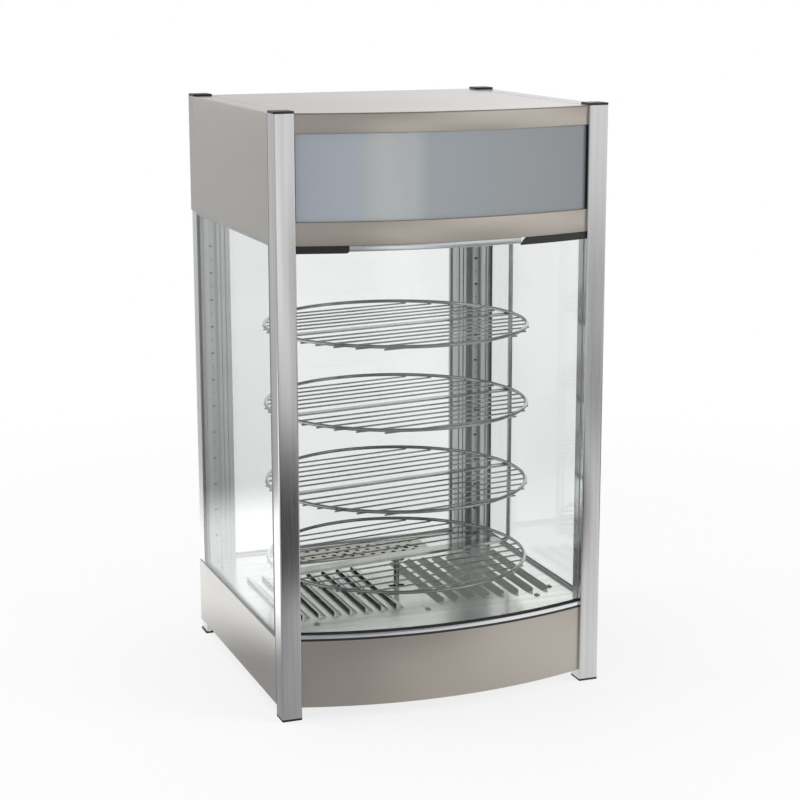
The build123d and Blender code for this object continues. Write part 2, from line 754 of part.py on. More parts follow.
def rack_rod():
    """Upright rod whose foot bends in to the drive bar and whose head stands under the top bar."""
    low = bar_bottom
    tail = rod_r - ROD_BEND - BAR_END
    path = FilletPolyline((tail, 0, low), (rod_r, 0, low), (rod_r, 0, top_bar_z), radius=ROD_BEND)
    section = Plane(origin=(tail, 0, low), x_dir=(0, 1, 0), z_dir=(1, 0, 0)) * RegularPolygon(ROD_D / 2, 6)
    return sweep(section, path=path)


def rack_drive_bar():
    """Flat bar under the lowest tier with the flanged drive shaft."""
    reach = rod_r - ROD_BEND - BAR_END
    bar = block(-reach, reach, -BAR_W / 2, BAR_W / 2, bar_bottom, bar_top)
    bar += many_sided(0, 0, HUB_D / 2, HUB_SIDES, bar_bottom - HUB_T, bar_bottom)
    return on_rack(bar + rod_z(0, 0, SHAFT_D / 2, shaft_foot, bar_bottom))


def rack_top_bar():
    """Flat bar on the rods' heads with the pin that turns in the ceiling bush."""
    plan = Rectangle(2 * sweep_r, BAR_W)
    plan = chamfer(plan.vertices(), BAR_CORNER)
    bar = post_z(plan, top_bar_z, top_bar_z + BAR_T)
    hub_top = top_bar_z + BAR_T + HUB_T
    bar += many_sided(0, 0, HUB_D / 2, HUB_SIDES, top_bar_z, hub_top)
    return on_rack(bar + rod_z(0, 0, SHAFT_D / 2, top_bar_z, side_top + BUSH_H - SHEET))


# Rear door

def stile_plan():
    """Right-hand stile's section: grooved face, glazing slot and hollow core."""
    plan = plan_rect(door_x - STILE_W, door_x, door_front, door_back)
    for share in DOOR_GROOVE_SHARES:
        x = door_x - STILE_W * (1 - share)
        plan -= plan_rect(x - DOOR_GROOVE / 2, x + DOOR_GROOVE / 2, door_front, door_front + DOOR_GROOVE)
    mid = (door_front + door_back) / 2
    slot_x = door_x - STILE_W + DOOR_SLOT_D
    plan -= plan_rect(door_x - STILE_W, slot_x, mid - DOOR_SLOT_W / 2, mid + DOOR_SLOT_W / 2)
    return plan


def hinge_stile():
    """Stile that the pivot pins run in."""
    stile = post_z(stile_plan(), door_low, door_high)
    bore = corner_radius(PIN_D / 2 + SHAFT_CLEAR, PIN_SIDES)
    stile -= many_sided(pivot_x, pivot_y, bore, PIN_SIDES, door_low, door_low + PIN_L + CUT)
    return stile - many_sided(pivot_x, pivot_y, bore, PIN_SIDES, door_high - PIN_L - CUT, door_high)


def door_rail(z0, z1, slot_z):
    """Rail between the stiles, with its share of the glazing slot."""
    x1 = door_x - STILE_W - FIT
    mid = (door_front + door_back) / 2
    rail = block(-x1, x1, door_front, door_back, z0, z1)
    low, high = sorted((slot_z, slot_z + (DOOR_SLOT_D if slot_z == z0 else -DOOR_SLOT_D)))
    return rail - block(-x1, x1, mid - DOOR_SLOT_W / 2, mid + DOOR_SLOT_W / 2, low, high)


def door_rails():
    """Bottom and top rails."""
    low_top = door_low + DOOR_RAIL_H
    high_low = door_high - DOOR_RAIL_H
    bottom = door_rail(door_low, low_top, low_top)
    return Compound(children=[bottom, door_rail(high_low, door_high, high_low)])


def door_frame(overlap, y0, y1):
    """Box that reaches into the glazing slot by overlap on every side."""
    x1 = door_x - STILE_W + overlap
    return block(-x1, x1, y0, y1, door_low + DOOR_RAIL_H - overlap, door_high - DOOR_RAIL_H + overlap)


def door_glass():
    """Pane of the door."""
    mid = (door_front + door_back) / 2
    return door_frame(DOOR_SLOT_D - GASKET_W, mid - GLASS / 2, mid + GLASS / 2)


def door_gasket():
    """Rubber frame that fills the glazing slot round the pane."""
    mid = (door_front + door_back) / 2
    half = DOOR_SLOT_W / 2 - FIT
    rubber = door_frame(DOOR_SLOT_D - FIT, mid - half, mid + half)
    return rubber - door_frame(-GASKET_W, mid - DOOR_T, mid + DOOR_T) - door_glass()


def door_pull():
    """Hooked finger pull on the free stile."""
    x0 = -door_x + (STILE_W - PULL_W) / 2
    z0 = pull_mid_z - PULL_L / 2
    z1 = pull_mid_z + PULL_L / 2
    pull = block(x0, x0 + PULL_W, door_back, door_back + PULL_T, z0, z1)
    pull += block(x0, x0 + PULL_T, door_back, pull_reach, z0, z1)
    return pull + block(x0, x0 + PULL_LIP, pull_reach - PULL_T, pull_reach, z0, z1)


def pivot_brackets():
    """Plates under and over the door, each with its pin."""
    x0 = door_x - STILE_W
    y0 = door_front - SHEET + FIT
    low = block(x0, panel_x, y0, door_back, REAR_PANEL_TOP, REAR_PANEL_TOP + BRACKET_T)
    low += many_sided(pivot_x, pivot_y, PIN_D / 2, PIN_SIDES, REAR_PANEL_TOP, door_low + PIN_L)
    high = block(x0, panel_x, y0, door_back, header_back_z - BRACKET_T, header_back_z)
    high += many_sided(pivot_x, pivot_y, PIN_D / 2, PIN_SIDES, door_high - PIN_L, header_back_z)
    return Compound(children=[low, high])


def catch_x():
    """Middle of the magnetic catch, over the free stile's end of the top rail."""
    return -door_x + STILE_W + CATCH_W


def door_magnet():
    """Magnetic catch on the ceiling's upstand."""
    x = catch_x()
    z = door_high - DOOR_RAIL_H / 2
    y0 = upstand_y + SHEET
    y1 = door_front - STRIKE_T - RUN_GAP
    return block(x - CATCH_W / 2, x + CATCH_W / 2, y0, y1, z - CATCH_H / 2, z + CATCH_H / 2)


def door_strike():
    """Steel plate that the magnet holds."""
    x = catch_x()
    z = door_high - DOOR_RAIL_H / 2
    half = CATCH_W / 2 - STRIKE_IN
    tall = CATCH_H / 2 - STRIKE_IN
    return block(x - half, x + half, door_front - STRIKE_T, door_front, z - tall, z + tall)


# Controls on the rear panel

def rear_control_panel():
    """Folded sheet under the door with the controls' holes."""
    panel = block(-panel_x, panel_x, half_d - SHEET, half_d, BASE_BOTTOM, REAR_PANEL_TOP)
    panel += block(-panel_x, panel_x, door_front - 2 * SHEET, half_d, REAR_PANEL_TOP - SHEET, REAR_PANEL_TOP)
    panel += block(-panel_x, panel_x, half_d - FLANGE, half_d, BASE_BOTTOM, pan_bottom)
    y0 = half_d - SHEET - CUT
    y1 = half_d + CUT
    panel -= rod_y(KNOB_X, panel_mid_z, KNOB_SHAFT_D / 2 + CUT, y0, y1)
    panel -= rod_y(GLAND_X, panel_mid_z, GLAND_D / 2 + FIT, y0, y1)
    for x in SWITCH_XS:
        body = SWITCH_W / 2 - SWITCH_LIP / 2 + FIT
        tall = SWITCH_TALL / 2 - SWITCH_LIP / 2 + FIT
        panel -= block(x - body, x + body, y0, y1, panel_mid_z - tall, panel_mid_z + tall)
    return panel


def thermostat():
    """Thermostat body behind the panel."""
    back = half_d - SHEET
    body = Pos(KNOB_X, back - THERMOSTAT_D / 2, panel_mid_z) * Box(THERMOSTAT, THERMOSTAT_D, THERMOSTAT)
    bore = KNOB_SHAFT_D / 2 + SHAFT_CLEAR
    return body - rod_y(KNOB_X, panel_mid_z, bore, back - THERMOSTAT_D / 2, back + CUT)


def thermostat_knob():
    """Knob with a flat-sided grip and its shaft."""
    y0 = half_d + DOOR_GAP
    knob = rod_y(KNOB_X, panel_mid_z, KNOB_D / 2, y0, y0 + KNOB_DISC_H)
    reach = KNOB_D / 2 - KNOB_FLAT
    grip = block(KNOB_X - KNOB_GRIP / 2, KNOB_X + KNOB_GRIP / 2, y0, y0 + KNOB_H,
                 panel_mid_z - reach, panel_mid_z + reach)
    shaft_end = half_d - SHEET - THERMOSTAT_D / 2 + CUT
    shaft = Plane.XZ * (Pos(KNOB_X, panel_mid_z) * RegularPolygon(KNOB_SHAFT_D / 2, PIN_SIDES))
    return knob + grip + Pos(0, y0) * extrude(shaft, amount=y0 - shaft_end)


def switch_housing(x):
    """Rocker switch body with its lip outside the panel."""
    half = SWITCH_W / 2
    tall = SWITCH_TALL / 2
    body = half - SWITCH_LIP / 2
    high = tall - SWITCH_LIP / 2
    out = half_d + SWITCH_LIP
    shell = block(x - half, x + half, half_d, out, panel_mid_z - tall, panel_mid_z + tall)
    shell += block(x - body, x + body, half_d - SWITCH_D, half_d, panel_mid_z - high, panel_mid_z + high)
    well_x = ROCKER_W / 2 + RUN_GAP
    well_z = ROCKER_R + RUN_GAP
    well = block(x - well_x, x + well_x, half_d - ROCKER_R - 2 * RUN_GAP, out, panel_mid_z - well_z,
                 panel_mid_z + well_z)
    return shell - well


def rocker(x):
    """Rocker whose two faces meet in a shallow V, tilted to its off position."""
    top = ROCKER_R * sin(radians(ROCKER_TILT)) + SWITCH_LIP
    disc = Circle(ROCKER_R)
    cap = Polygon((-ROCKER_R, top + SWITCH_LIP), (0, top), (ROCKER_R, top + SWITCH_LIP),
                  (ROCKER_R, -ROCKER_R), (-ROCKER_R, -ROCKER_R), align=None)
    plan = Plane(origin=(x, half_d, panel_mid_z), x_dir=(0, 0, 1), z_dir=(-1, 0, 0)) * (
        Rot(0, 0, ROCKER_TILT) * (disc & cap))
    return extrude(plan, amount=ROCKER_W / 2, both=True)


def cord_gland():
    """Flanged and bored gland for the supply lead."""
    out = half_d + GLAND_FLANGE_T
    gland = rod_y(GLAND_X, panel_mid_z, GLAND_D / 2, half_d - GLAND_INSIDE, out)
    nut = Plane.XZ * (Pos(GLAND_X, panel_mid_z) * RegularPolygon(GLAND_FLANGE_D / 2, 6))
    gland += Pos(0, half_d) * extrude(nut, amount=-GLAND_FLANGE_T)
    return gland - rod_y(GLAND_X, panel_mid_z, GLAND_BORE_R, half_d - GLAND_INSIDE - CUT, out + CUT)


parts = {
    "front_right_post": front_post(),
    "front_left_post": flipped(front_post()),
    "rear_right_post": rear_post(),
    "rear_left_post": flipped(rear_post()),
    "post_caps": end_cover(post_top, HEIGHT),
    "foot_pads": end_cover(PAD_T, 0),
    "base_front_panel": base_front_panel(),
    "front_seals": front_seals(),
    "glass_bottom_trim": glass_bottom_trim(),
    "front_glass_gaskets": Compound(children=[front_glass_gasket(), glass_top_gasket()]),
    "front_glass": bow_band(GLASS_INSET, GLASS, glass_foot, glass_head),
    "glass_top_trim": glass_top_trim(),
    "front_glass_clips": front_glass_clips(),
    "header_bottom_rail": header_bottom_rail(),
    "sign_panel": sign_panel(),
    "header_top_rail": header_top_rail(),
    "sign_lamp": sign_lamp(),
    "lamp_bracket": lamp_bracket(),
    "right_side_glass": side_glass(),
    "left_side_glass": flipped(side_glass()),
    "side_glass_gaskets": Compound(children=[side_gasket(), flipped(side_gasket())]),
    "upper_right_panel": upper_side_panel(),
    "upper_left_panel": flipped(upper_side_panel()),
    "lower_right_panel": lower_side_panel(),
    "lower_left_panel": flipped(lower_side_panel()),
    "top_panel": top_panel(),
    "ceiling_panel": ceiling_panel(),
    "ceiling_bushing": ceiling_bushing(),
    "rear_header_panel": rear_header_panel(),
    "floor_plate": floor_plate(),
    "return_air_grille": return_air_grille(),
    "base_pan": base_pan(),
    "shelf_standards": Compound(children=[shelf_standard(), flipped(shelf_standard())]),
    "rack_gearmotor": rack_gearmotor(),
    "fan_housing": fan_housing(),
    "fan_impeller": fan_impeller(),
    "heating_element": heating_element(),
    "rack_rods": on_rack(Compound(children=[rack_rod(), flipped(rack_rod())])),
    "rack_drive_bar": rack_drive_bar(),
    "rack_top_bar": rack_top_bar(),
    "door_hinge_stile": hinge_stile(),
    "door_free_stile": flipped(post_z(stile_plan(), door_low, door_high)),
    "door_rails": door_rails(),
    "door_glass": door_glass(),
    "door_gasket": door_gasket(),
    "door_pull": door_pull(),
    "door_strike": door_strike(),
    "door_magnet": door_magnet(),
    "door_pivot_brackets": pivot_brackets(),
    "rear_control_panel": rear_control_panel(),
    "thermostat": thermostat(),
    "thermostat_knob": thermostat_knob(),
    "switch_housings": Compound(children=[switch_housing(x) for x in SWITCH_XS]),
    "power_rocker": rocker(SWITCH_XS[0]),
    "light_rocker": rocker(SWITCH_XS[1]),
    "cord_gland": cord_gland(),
}
for i in range(TIERS):
    parts[f"rack_tier_{i + 1}"] = tier(i)

for name, shape in parts.items():
    export_step(shape, f"parts/{name}.step")
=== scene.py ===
"""Looks of a heated display merchandiser: finishes, detailed meshes, studio and camera. Metres, Z up."""

import json
import math

import bmesh
import bpy
from mathutils import Matrix, Vector
from mathutils.geometry import delaunay_2d_cdt


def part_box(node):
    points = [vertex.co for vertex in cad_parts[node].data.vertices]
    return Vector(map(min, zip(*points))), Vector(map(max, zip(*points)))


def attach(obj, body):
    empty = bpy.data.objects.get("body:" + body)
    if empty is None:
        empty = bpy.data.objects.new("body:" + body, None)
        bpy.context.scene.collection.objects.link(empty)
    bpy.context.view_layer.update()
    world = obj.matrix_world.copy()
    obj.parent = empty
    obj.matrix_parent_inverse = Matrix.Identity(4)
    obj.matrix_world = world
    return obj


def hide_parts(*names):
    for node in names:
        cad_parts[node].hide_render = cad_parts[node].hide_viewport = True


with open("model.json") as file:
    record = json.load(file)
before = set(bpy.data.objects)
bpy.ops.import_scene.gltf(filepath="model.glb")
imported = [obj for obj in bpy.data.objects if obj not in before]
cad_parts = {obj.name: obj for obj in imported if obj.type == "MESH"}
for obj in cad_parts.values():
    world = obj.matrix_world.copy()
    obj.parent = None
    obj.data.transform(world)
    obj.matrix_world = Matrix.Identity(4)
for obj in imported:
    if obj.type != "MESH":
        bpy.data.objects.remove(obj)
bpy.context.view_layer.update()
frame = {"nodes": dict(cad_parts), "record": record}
nodes = frame["nodes"]

# Material slot of each node in the record
SLOTS = {part["node"]: part["material_slot"] for part in frame["record"]["subparts"]}

# Places read from the frame
post_lo, post_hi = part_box("front_right_post")
base_lo, base_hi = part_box("base_front_panel")
HALF_W = post_hi.x
INNER_X = post_lo.x
HALF_D = -post_lo.y
INNER_Y = -post_hi.y
SKIN_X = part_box("rear_right_post")[1].x
POST_FOOT = post_lo.z
POST_TOP = post_hi.z
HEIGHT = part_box("post_caps")[1].z
PANEL_X = base_hi.x
BASE_BOTTOM = base_lo.z
BASE_TOP = base_hi.z
HEADER_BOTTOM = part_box("header_bottom_rail")[0].z
SIGN_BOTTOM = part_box("header_bottom_rail")[1].z
SIGN_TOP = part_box("header_top_rail")[0].z
HEADER_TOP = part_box("header_top_rail")[1].z
SIDE_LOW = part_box("lower_right_panel")[1].z
SIDE_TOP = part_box("upper_right_panel")[0].z
FLOOR_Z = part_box("return_air_grille")[0].z
RACK_Y = (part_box("rack_tier_1")[0].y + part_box("rack_tier_1")[1].y) / 2

# Sizes that the looks share with the real product
POST_EDGE = 0.002
SHEET = 0.0015
FLANGE = 0.012
BEND = 0.0009
FIT = 0.0001
EDGE = 0.0003
BOW_RISE = 0.0333
BOW_R = (INNER_X ** 2 + BOW_RISE ** 2) / (2 * BOW_RISE)
BOW_Y = base_lo.y + BOW_R
BOW_STEPS = 64
GLASS = 0.004
GLASS_INSET = 0.004
CORNER_SHARE = 0.49
PIN_CHAMFER = 0.0007

# Directions
UP = (0, 0, 1)
DOWN = (0, 0, -1)
BACK = (0, 1, 0)
SIDEWAYS = (1, 0, 0)


# Mesh kit

def bow_y(x, inset=0.0):
    """Y of the bowed front at x, set back by inset."""
    return BOW_Y - math.sqrt((BOW_R - inset) ** 2 - x ** 2)


def bow_line(inset=0.0, reach=PANEL_X):
    """Plan points along the bow, from -reach to reach."""
    xs = [-reach + 2 * reach * i / BOW_STEPS for i in range(BOW_STEPS + 1)]
    return [(x, bow_y(x, inset)) for x in xs]


def rounded(points, radius, steps=5):
    """A closed outline with rounded corners; radius is one number or one for each corner."""
    count = len(points)
    radii = [radius] * count if isinstance(radius, (int, float)) else list(radius)
    outline = []
    for i, corner in enumerate(points):
        here = Vector(corner)
        before = Vector(points[i - 1]) - here
        after = Vector(points[(i + 1) % count]) - here
        turn = before.angle(after)
        reach = radii[i] / math.tan(turn / 2) if radii[i] > 0 else 0.0
        reach = min(reach, before.length * CORNER_SHARE, after.length * CORNER_SHARE)
        if reach <= 0:
            outline.append(tuple(here))
            continue
        back = before.normalized()
        ahead = after.normalized()
        fillet = reach * math.tan(turn / 2)
        middle = here + (back + ahead).normalized() * (fillet / math.sin(turn / 2))
        start = here + back * reach - middle
        sweep = start.angle_signed(here + ahead * reach - middle)
        for k in range(steps + 1):
            outline.append(tuple(middle + Matrix.Rotation(-sweep * k / steps, 2) @ start))
    return outline


def bent_path(points, radius, steps=8):
    """An open path with its inner corners rounded."""
    spots = [Vector(p) for p in points]
    path = [spots[0]]
    for before, here, after in zip(spots, spots[1:], spots[2:]):
        back = (before - here).normalized()
        ahead = (after - here).normalized()
        turn = back.angle(ahead)
        reach = radius / math.tan(turn / 2)
        middle = here + (back + ahead).normalized() * (radius / math.sin(turn / 2))
        start = here + back * reach - middle
        axis = start.cross(here + ahead * reach - middle).normalized()
        for k in range(steps + 1):
            path.append(middle + Matrix.Rotation((math.pi - turn) * k / steps, 3, axis) @ start)
    return path + [spots[-1]]


def circle(radius, steps=24, centre=(0.0, 0.0)):
    """Points round a circle."""
    turns = [2 * math.pi * i / steps for i in range(steps)]
    return [(centre[0] + radius * math.cos(t), centre[1] + radius * math.sin(t)) for t in turns]


def rect(x0, x1, y0, y1):
    """Corner points of a rectangle."""
    return [(x0, y0), (x1, y0), (x1, y1), (x0, y1)]


def block(x, z, half_w, half_h):
    """Corner points of a rectangle about a middle."""
    return rect(x - half_w, x + half_w, z - half_h, z + half_h)


def inside(point, loop):
    """Whether a 2D point lies in a closed loop."""
    x, y = point
    odd = False
    for (x0, y0), (x1, y1) in zip(loop, loop[1:] + loop[:1]):
        if (y0 > y) != (y1 > y) and x < x0 + (y - y0) / (y1 - y0) * (x1 - x0):
            odd = not odd
    return odd


def ring_round(spot, way, side, radius, sides):
    """A ring of points round a spot, square to a way."""
    other = way.cross(side)
    turns = [2 * math.pi * k / sides for k in range(sides)]
    return [spot + (side * math.cos(t) + other * math.sin(t)) * radius for t in turns]


def turned_rings(profile, centre, axis, sides):
    """Rings of a (radius, distance along axis) profile turned about an axis through a centre."""
    way = Vector(axis).normalized()
    side = way.orthogonal().normalized()
    return [ring_round(Vector(centre) + way * reach, way, side, radius, sides) for radius, reach in profile]


class Form:
    """Collects closed solids into one mesh; each drawing call gives the form back."""

    def __init__(self):
        self.points = []
        self.faces = []
        self.slots = []

    def put(self, points, faces, slot=0):
        start = len(self.points)
        self.points += [Vector(p) for p in points]
        self.faces += [[start + i for i in f] for f in faces]
        self.slots += [slot] * len(faces)
        return self

    def loft(self, rings, slot=0, wrap=False):
        """Joins closed rings of equally many points, capped at both ends unless wrapped."""
        width = len(rings[0])
        faces = []
        for r in range(len(rings) if wrap else len(rings) - 1):
            a = r * width
            b = (r + 1) % len(rings) * width
            for i in range(width):
                j = (i + 1) % width
                faces.append([a + i, a + j, b + j, b + i])
        if not wrap:
            faces.append(list(range(width - 1, -1, -1)))
            faces.append([(len(rings) - 1) * width + i for i in range(width)])
        return self.put([p for ring in rings for p in ring], faces, slot)

    def prism(self, outline, z0, z1, slot=0):
        """Raises a plan outline from z0 to z1."""
        return self.loft([[(x, y, z) for x, y in outline] for z in (z0, z1)], slot)

    def along_y(self, outline, y0, y1, slot=0):
        """Draws an (x, z) outline from y0 to y1."""
        return self.loft([[(x, y, z) for x, z in outline] for y in (y0, y1)], slot)

    def along_x(self, outline, x0, x1):
        """Draws a (y, z) outline from x0 to x1."""
        return self.loft([[(x, y, z) for y, z in outline] for x in (x0, x1)])

    def box(self, x0, x1, y0, y1, z0, z1, slot=0):
        return self.prism(rect(x0, x1, y0, y1), z0, z1, slot)

    def bow(self, profile, x0=-PANEL_X, x1=PANEL_X, steps=BOW_STEPS):
        """Draws an (inset, z) profile along the bow from x0 to x1."""
        xs = [x0 + (x1 - x0) * i / steps for i in range(steps + 1)]
        return self.loft([[(x, bow_y(x, inset), z) for inset, z in profile] for x in xs])

    def tube(self, path, radius, wrap=False, sides=16):
        """A round wire along a path of points."""
        spots = [Vector(p) for p in path]
        rings = []
        side = None
        for i, spot in enumerate(spots):
            ahead = spots[(i + 1) % len(spots)] if wrap or i < len(spots) - 1 else spot
            behind = spots[i - 1] if wrap or i > 0 else spot
            way = (ahead - behind).normalized()
            side = way.orthogonal() if side is None else side
            side = (side - way * side.dot(way)).normalized()
            rings.append(ring_round(spot, way, side, radius, sides))
        return self.loft(rings, wrap=wrap)

    def lathe(self, profile, centre, axis, slot=0, sides=32):
        """Turns an open (radius, distance along axis) profile, capped at both ends."""
        return self.loft(turned_rings(profile, centre, axis, sides), slot)

    def turn(self, section, centre, axis, sides=40):
        """Turns a closed (radius, distance along axis) section all the way round."""
        return self.loft(list(zip(*turned_rings(section, centre, axis, sides))), wrap=True)

    def stub(self, spot, axis, radius, length):
        """A round boss or pin with a chamfered end."""
        end = (radius - PIN_CHAMFER, length)
        return self.lathe([(radius, 0), (radius, length - PIN_CHAMFER), end], spot, axis)

    def plate(self, outline, holes, z0, z1):
        """A flat plate with holes, raised from z0 to z1."""
        flat = []
        edges = []
        for loop in [outline] + holes:
            start = len(flat)
            flat += [Vector(p) for p in loop]
            edges += [(start + i, start + (i + 1) % len(loop)) for i in range(len(loop))]
        spots, _, triangles, _, _, _ = delaunay_2d_cdt(flat, edges, [], 0, 1e-7)
        kept = []
        for tri in triangles:
            middle = (spots[tri[0]] + spots[tri[1]] + spots[tri[2]]) / 3
            if inside(middle, outline) and not any(inside(middle, hole) for hole in holes):
                kept.append(list(tri))
        count = len(spots)
        faces = [[count + i for i in tri] for tri in kept] + [tri[::-1] for tri in kept]
        sides = [side for tri in kept for side in zip(tri, tri[1:] + tri[:1])]
        known = set(sides)
        faces += [[a, b, count + b, count + a] for a, b in sides if (b, a) not in known]
        return self.put([(p.x, p.y, z) for z in (z0, z1) for p in spots], faces)

    def upright(self, outline, holes, y0, y1):
        """An (x, z) plate with holes, from y0 to y1."""
        start = len(self.points)
        self.plate(outline, holes, y0, y1)
        return self.turned(Matrix(((1, 0, 0, 0), (0, 0, 1, 0), (0, 1, 0, 0), (0, 0, 0, 1))), start)

    def mirrored(self):
        """Adds the same solids on the other side of the cabinet."""
        slots = list(self.slots)
        self.put([(-p.x, p.y, p.z) for p in self.points], [f[::-1] for f in self.faces])
        self.slots[-len(slots):] = slots
        return self

    def turned(self, matrix, start=0):
        """Moves what has been collected since a start."""
        self.points[start:] = [matrix @ p for p in self.points[start:]]
        return self


def piece(name, form, materials, slot, body="cabinet", bevel=EDGE, smooth=38):
    """Makes the object, gives it bevelled edges and puts it under its body; slot is not used."""
    mesh = bpy.data.meshes.new(name)
    mesh.from_pydata([tuple(p) for p in form.points], [], form.faces)
    mesh.polygons.foreach_set("material_index", form.slots)
    tidy = bmesh.new()
    tidy.from_mesh(mesh)
    bmesh.ops.recalc_face_normals(tidy, faces=tidy.faces)
    tidy.to_mesh(mesh)
    tidy.free()
    mesh.polygons.foreach_set("use_smooth", [True] * len(mesh.polygons))
    mesh.set_sharp_from_angle(angle=math.radians(smooth))
    for material in materials:
        mesh.materials.append(material)
    thing = bpy.data.objects.new(name, mesh)
    bpy.context.scene.collection.objects.link(thing)
    if bevel > 0:
        edge = thing.modifiers.new("edge", "BEVEL")
        edge.width = bevel
        edge.segments = 2
        edge.limit_method = "ANGLE"
        edge.angle_limit = math.radians(smooth)
        edge.harden_normals = True
        edge.use_clamp_overlap = True
    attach(thing, body)
    return thing


def show(node, form, *materials, slot=None, **finish):
    """A piece that stands for a CAD node and hides that node; it hands piece the node's slot, unless another
    is named.
    """
    thing = piece(node + "_shown", form, materials, slot or SLOTS[node], **finish)
    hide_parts(node)
    return thing


def show_pair(names, build, *materials, **finish):
    """A right-hand piece and its left-hand twin; names holds {} for the hand."""
    twin = build().turned(Matrix.Scale(-1, 4, SIDEWAYS))
    forms = (("right", build()), ("left", twin))
    return [show(names.format(hand), form, *materials, **finish) for hand, form in forms]


def edge_slots(pane, axis):
    """Gives a pane's narrow faces the second material; its ends face along the axis."""
    for face in pane.data.polygons:
        if max(abs(face.normal.z), abs(face.normal[axis])) > 0.5:
            face.material_index = 1


# Screws

SCREW_R = 0.0045
SMALL_SCREW_R = 0.003
SCREW_H = 0.0026
SCREW_RIM = 0.0003
SCREW_SINK = 0.0002
SCREW_TURNS = [k * math.pi / 14 for k in range(1, 6)]
SCREW_RECESS = ((0.28, 1.0), (0.22, 0.55))
REAR_SCREW_XS = (-0.19, 0.0, 0.19)


def add_screws(form, spots, axis=BACK, radius=SCREW_R, slot=0):
    """Low dome-headed screws with a round recess, each facing along the axis."""
    profile = [(radius, -SCREW_SINK), (radius, SCREW_RIM)]
    profile += [(radius * math.cos(t), SCREW_H * math.sin(t)) for t in SCREW_TURNS]
    profile += [(radius * wide, SCREW_H * high) for wide, high in SCREW_RECESS] + [(FIT, SCREW_H / 2)]
    for spot in spots:
        form.lathe(profile, spot, axis, slot, 20)
    return form


def add_rear_screws(form, lo, hi, margin):
    """Two rows of screws along a rear panel, a margin in from its edges."""
    return add_screws(form, [(x, hi.y, z) for x in REAR_SCREW_XS for z in (lo.z + margin, hi.z - margin)])


# Node kit; FINISHES holds each finish by its name

FINISHES = {}


def fill(tree, node, inputs):
    """Sets each named input to a value, or links it to another node's output."""
    for key, value in inputs.items():
        if isinstance(value, bpy.types.NodeSocket):
            tree.links.new(value, node.inputs[key])
        else:
            node.inputs[key].default_value = value


def add(tree, kind, inputs, **settings):
    """A new node with its settings and inputs."""
    node = tree.nodes.new(kind)
    for key, value in settings.items():
        setattr(node, key, value)
    fill(tree, node, inputs)
    return node


def new_material(name):
    material = bpy.data.materials.new(name)
    material.use_nodes = True
    FINISHES[name] = material
    tree = material.node_tree
    return material, tree, tree.nodes["Principled BSDF"]


def calc(tree, operation, *values):
    """A math node on numbers or outputs."""
    return add(tree, "ShaderNodeMath", dict(enumerate(values)), operation=operation).outputs[0]


def along(tree, vector, axis):
    """How far a direction or place lies along an axis."""
    return add(tree, "ShaderNodeVectorMath", {0: vector, 1: axis}, operation="DOT_PRODUCT").outputs["Value"]


def mixed(tree, share, first, second):
    """One shader over another."""
    return add(tree, "ShaderNodeMixShader", {0: share, 1: first, 2: second}).outputs[0]


def ramp(tree, value, stops, interpolation="EASE"):
    """Colours or grey levels along a value from 0 to 1."""
    node = add(tree, "ShaderNodeValToRGB", {0: value})
    node.color_ramp.interpolation = interpolation
    marks = node.color_ramp.elements
    while len(marks) < len(stops):
        marks.new(0.5)
    for mark, (at, level) in zip(marks, stops):
        mark.position = at
        mark.color = (*level, 1) if isinstance(level, tuple) else (level, level, level, 1)
    return node.outputs[0]


def place(tree, stretch=(1.0, 1.0, 1.0)):
    """Coordinates of the piece's own frame, scaled on each axis."""
    coords = add(tree, "ShaderNodeTexCoord", {}).outputs["Object"]
    return add(tree, "ShaderNodeMapping", {"Vector": coords, "Scale": stretch}).outputs["Vector"]


def noise(tree, stretch, detail, rough):
    """A noise pattern stretched along the piece's axes."""
    inputs = {"Vector": place(tree, stretch), "Scale": 1.0, "Detail": detail, "Roughness": rough}
    return add(tree, "ShaderNodeTexNoise", inputs).outputs["Fac"]


def spread(tree, value, low, high, start=0.3, end=0.7):
    """Maps a pattern onto a range."""
    inputs = {"Value": value, "From Min": start, "From Max": end, "To Min": low, "To Max": high}
    return add(tree, "ShaderNodeMapRange", inputs).outputs["Result"]


def tones(tree, shader, shade, dark, light, gloss, roughness):
    """Colour between dark and light by one pattern, roughness over a range by another."""
    inputs = {"Factor": spread(tree, shade, 0.0, 1.0), "A": (*dark, 1), "B": (*light, 1)}
    colour = add(tree, "ShaderNodeMix", inputs, data_type="RGBA").outputs["Result"]
    fill(tree, shader, {"Base Color": colour, "Roughness": spread(tree, gloss, *roughness)})


def bump(tree, shader, height, strength, distance):
    """Raises a pattern on a shader."""
    inputs = {"Height": height, "Strength": strength, "Distance": distance}
    fill(tree, shader, {"Normal": add(tree, "ShaderNodeBump", inputs).outputs["Normal"]})


# Finishes

BROAD_SHARE = 0.12
FINE_WEIGHT = 0.65
BROAD_WEIGHT = 0.35
METAL_RELIEF = 0.0002
PLAIN_RELIEF = 0.0001
GLARE_POWER = 5.0
GLARE_RISE = 0.96
GLARE_LEAST = 0.03


def brushed_metal(name, dark, light, roughness, grain, relief=0.12):
    """Metal with a fine grain; grain is the pattern's scale on each axis."""
    material, tree, shader = new_material(name)
    fill(tree, shader, {"Metallic": 1.0})
    fine = noise(tree, grain, 4.0, 0.65)
    broad = noise(tree, [g * BROAD_SHARE for g in grain], 2.0, 0.5)
    shade = calc(tree, "MULTIPLY_ADD", fine, FINE_WEIGHT, spread(tree, broad, 0.0, BROAD_WEIGHT))
    tones(tree, shader, shade, dark, light, fine, roughness)
    bump(tree, shader, fine, relief, METAL_RELIEF)
    return material


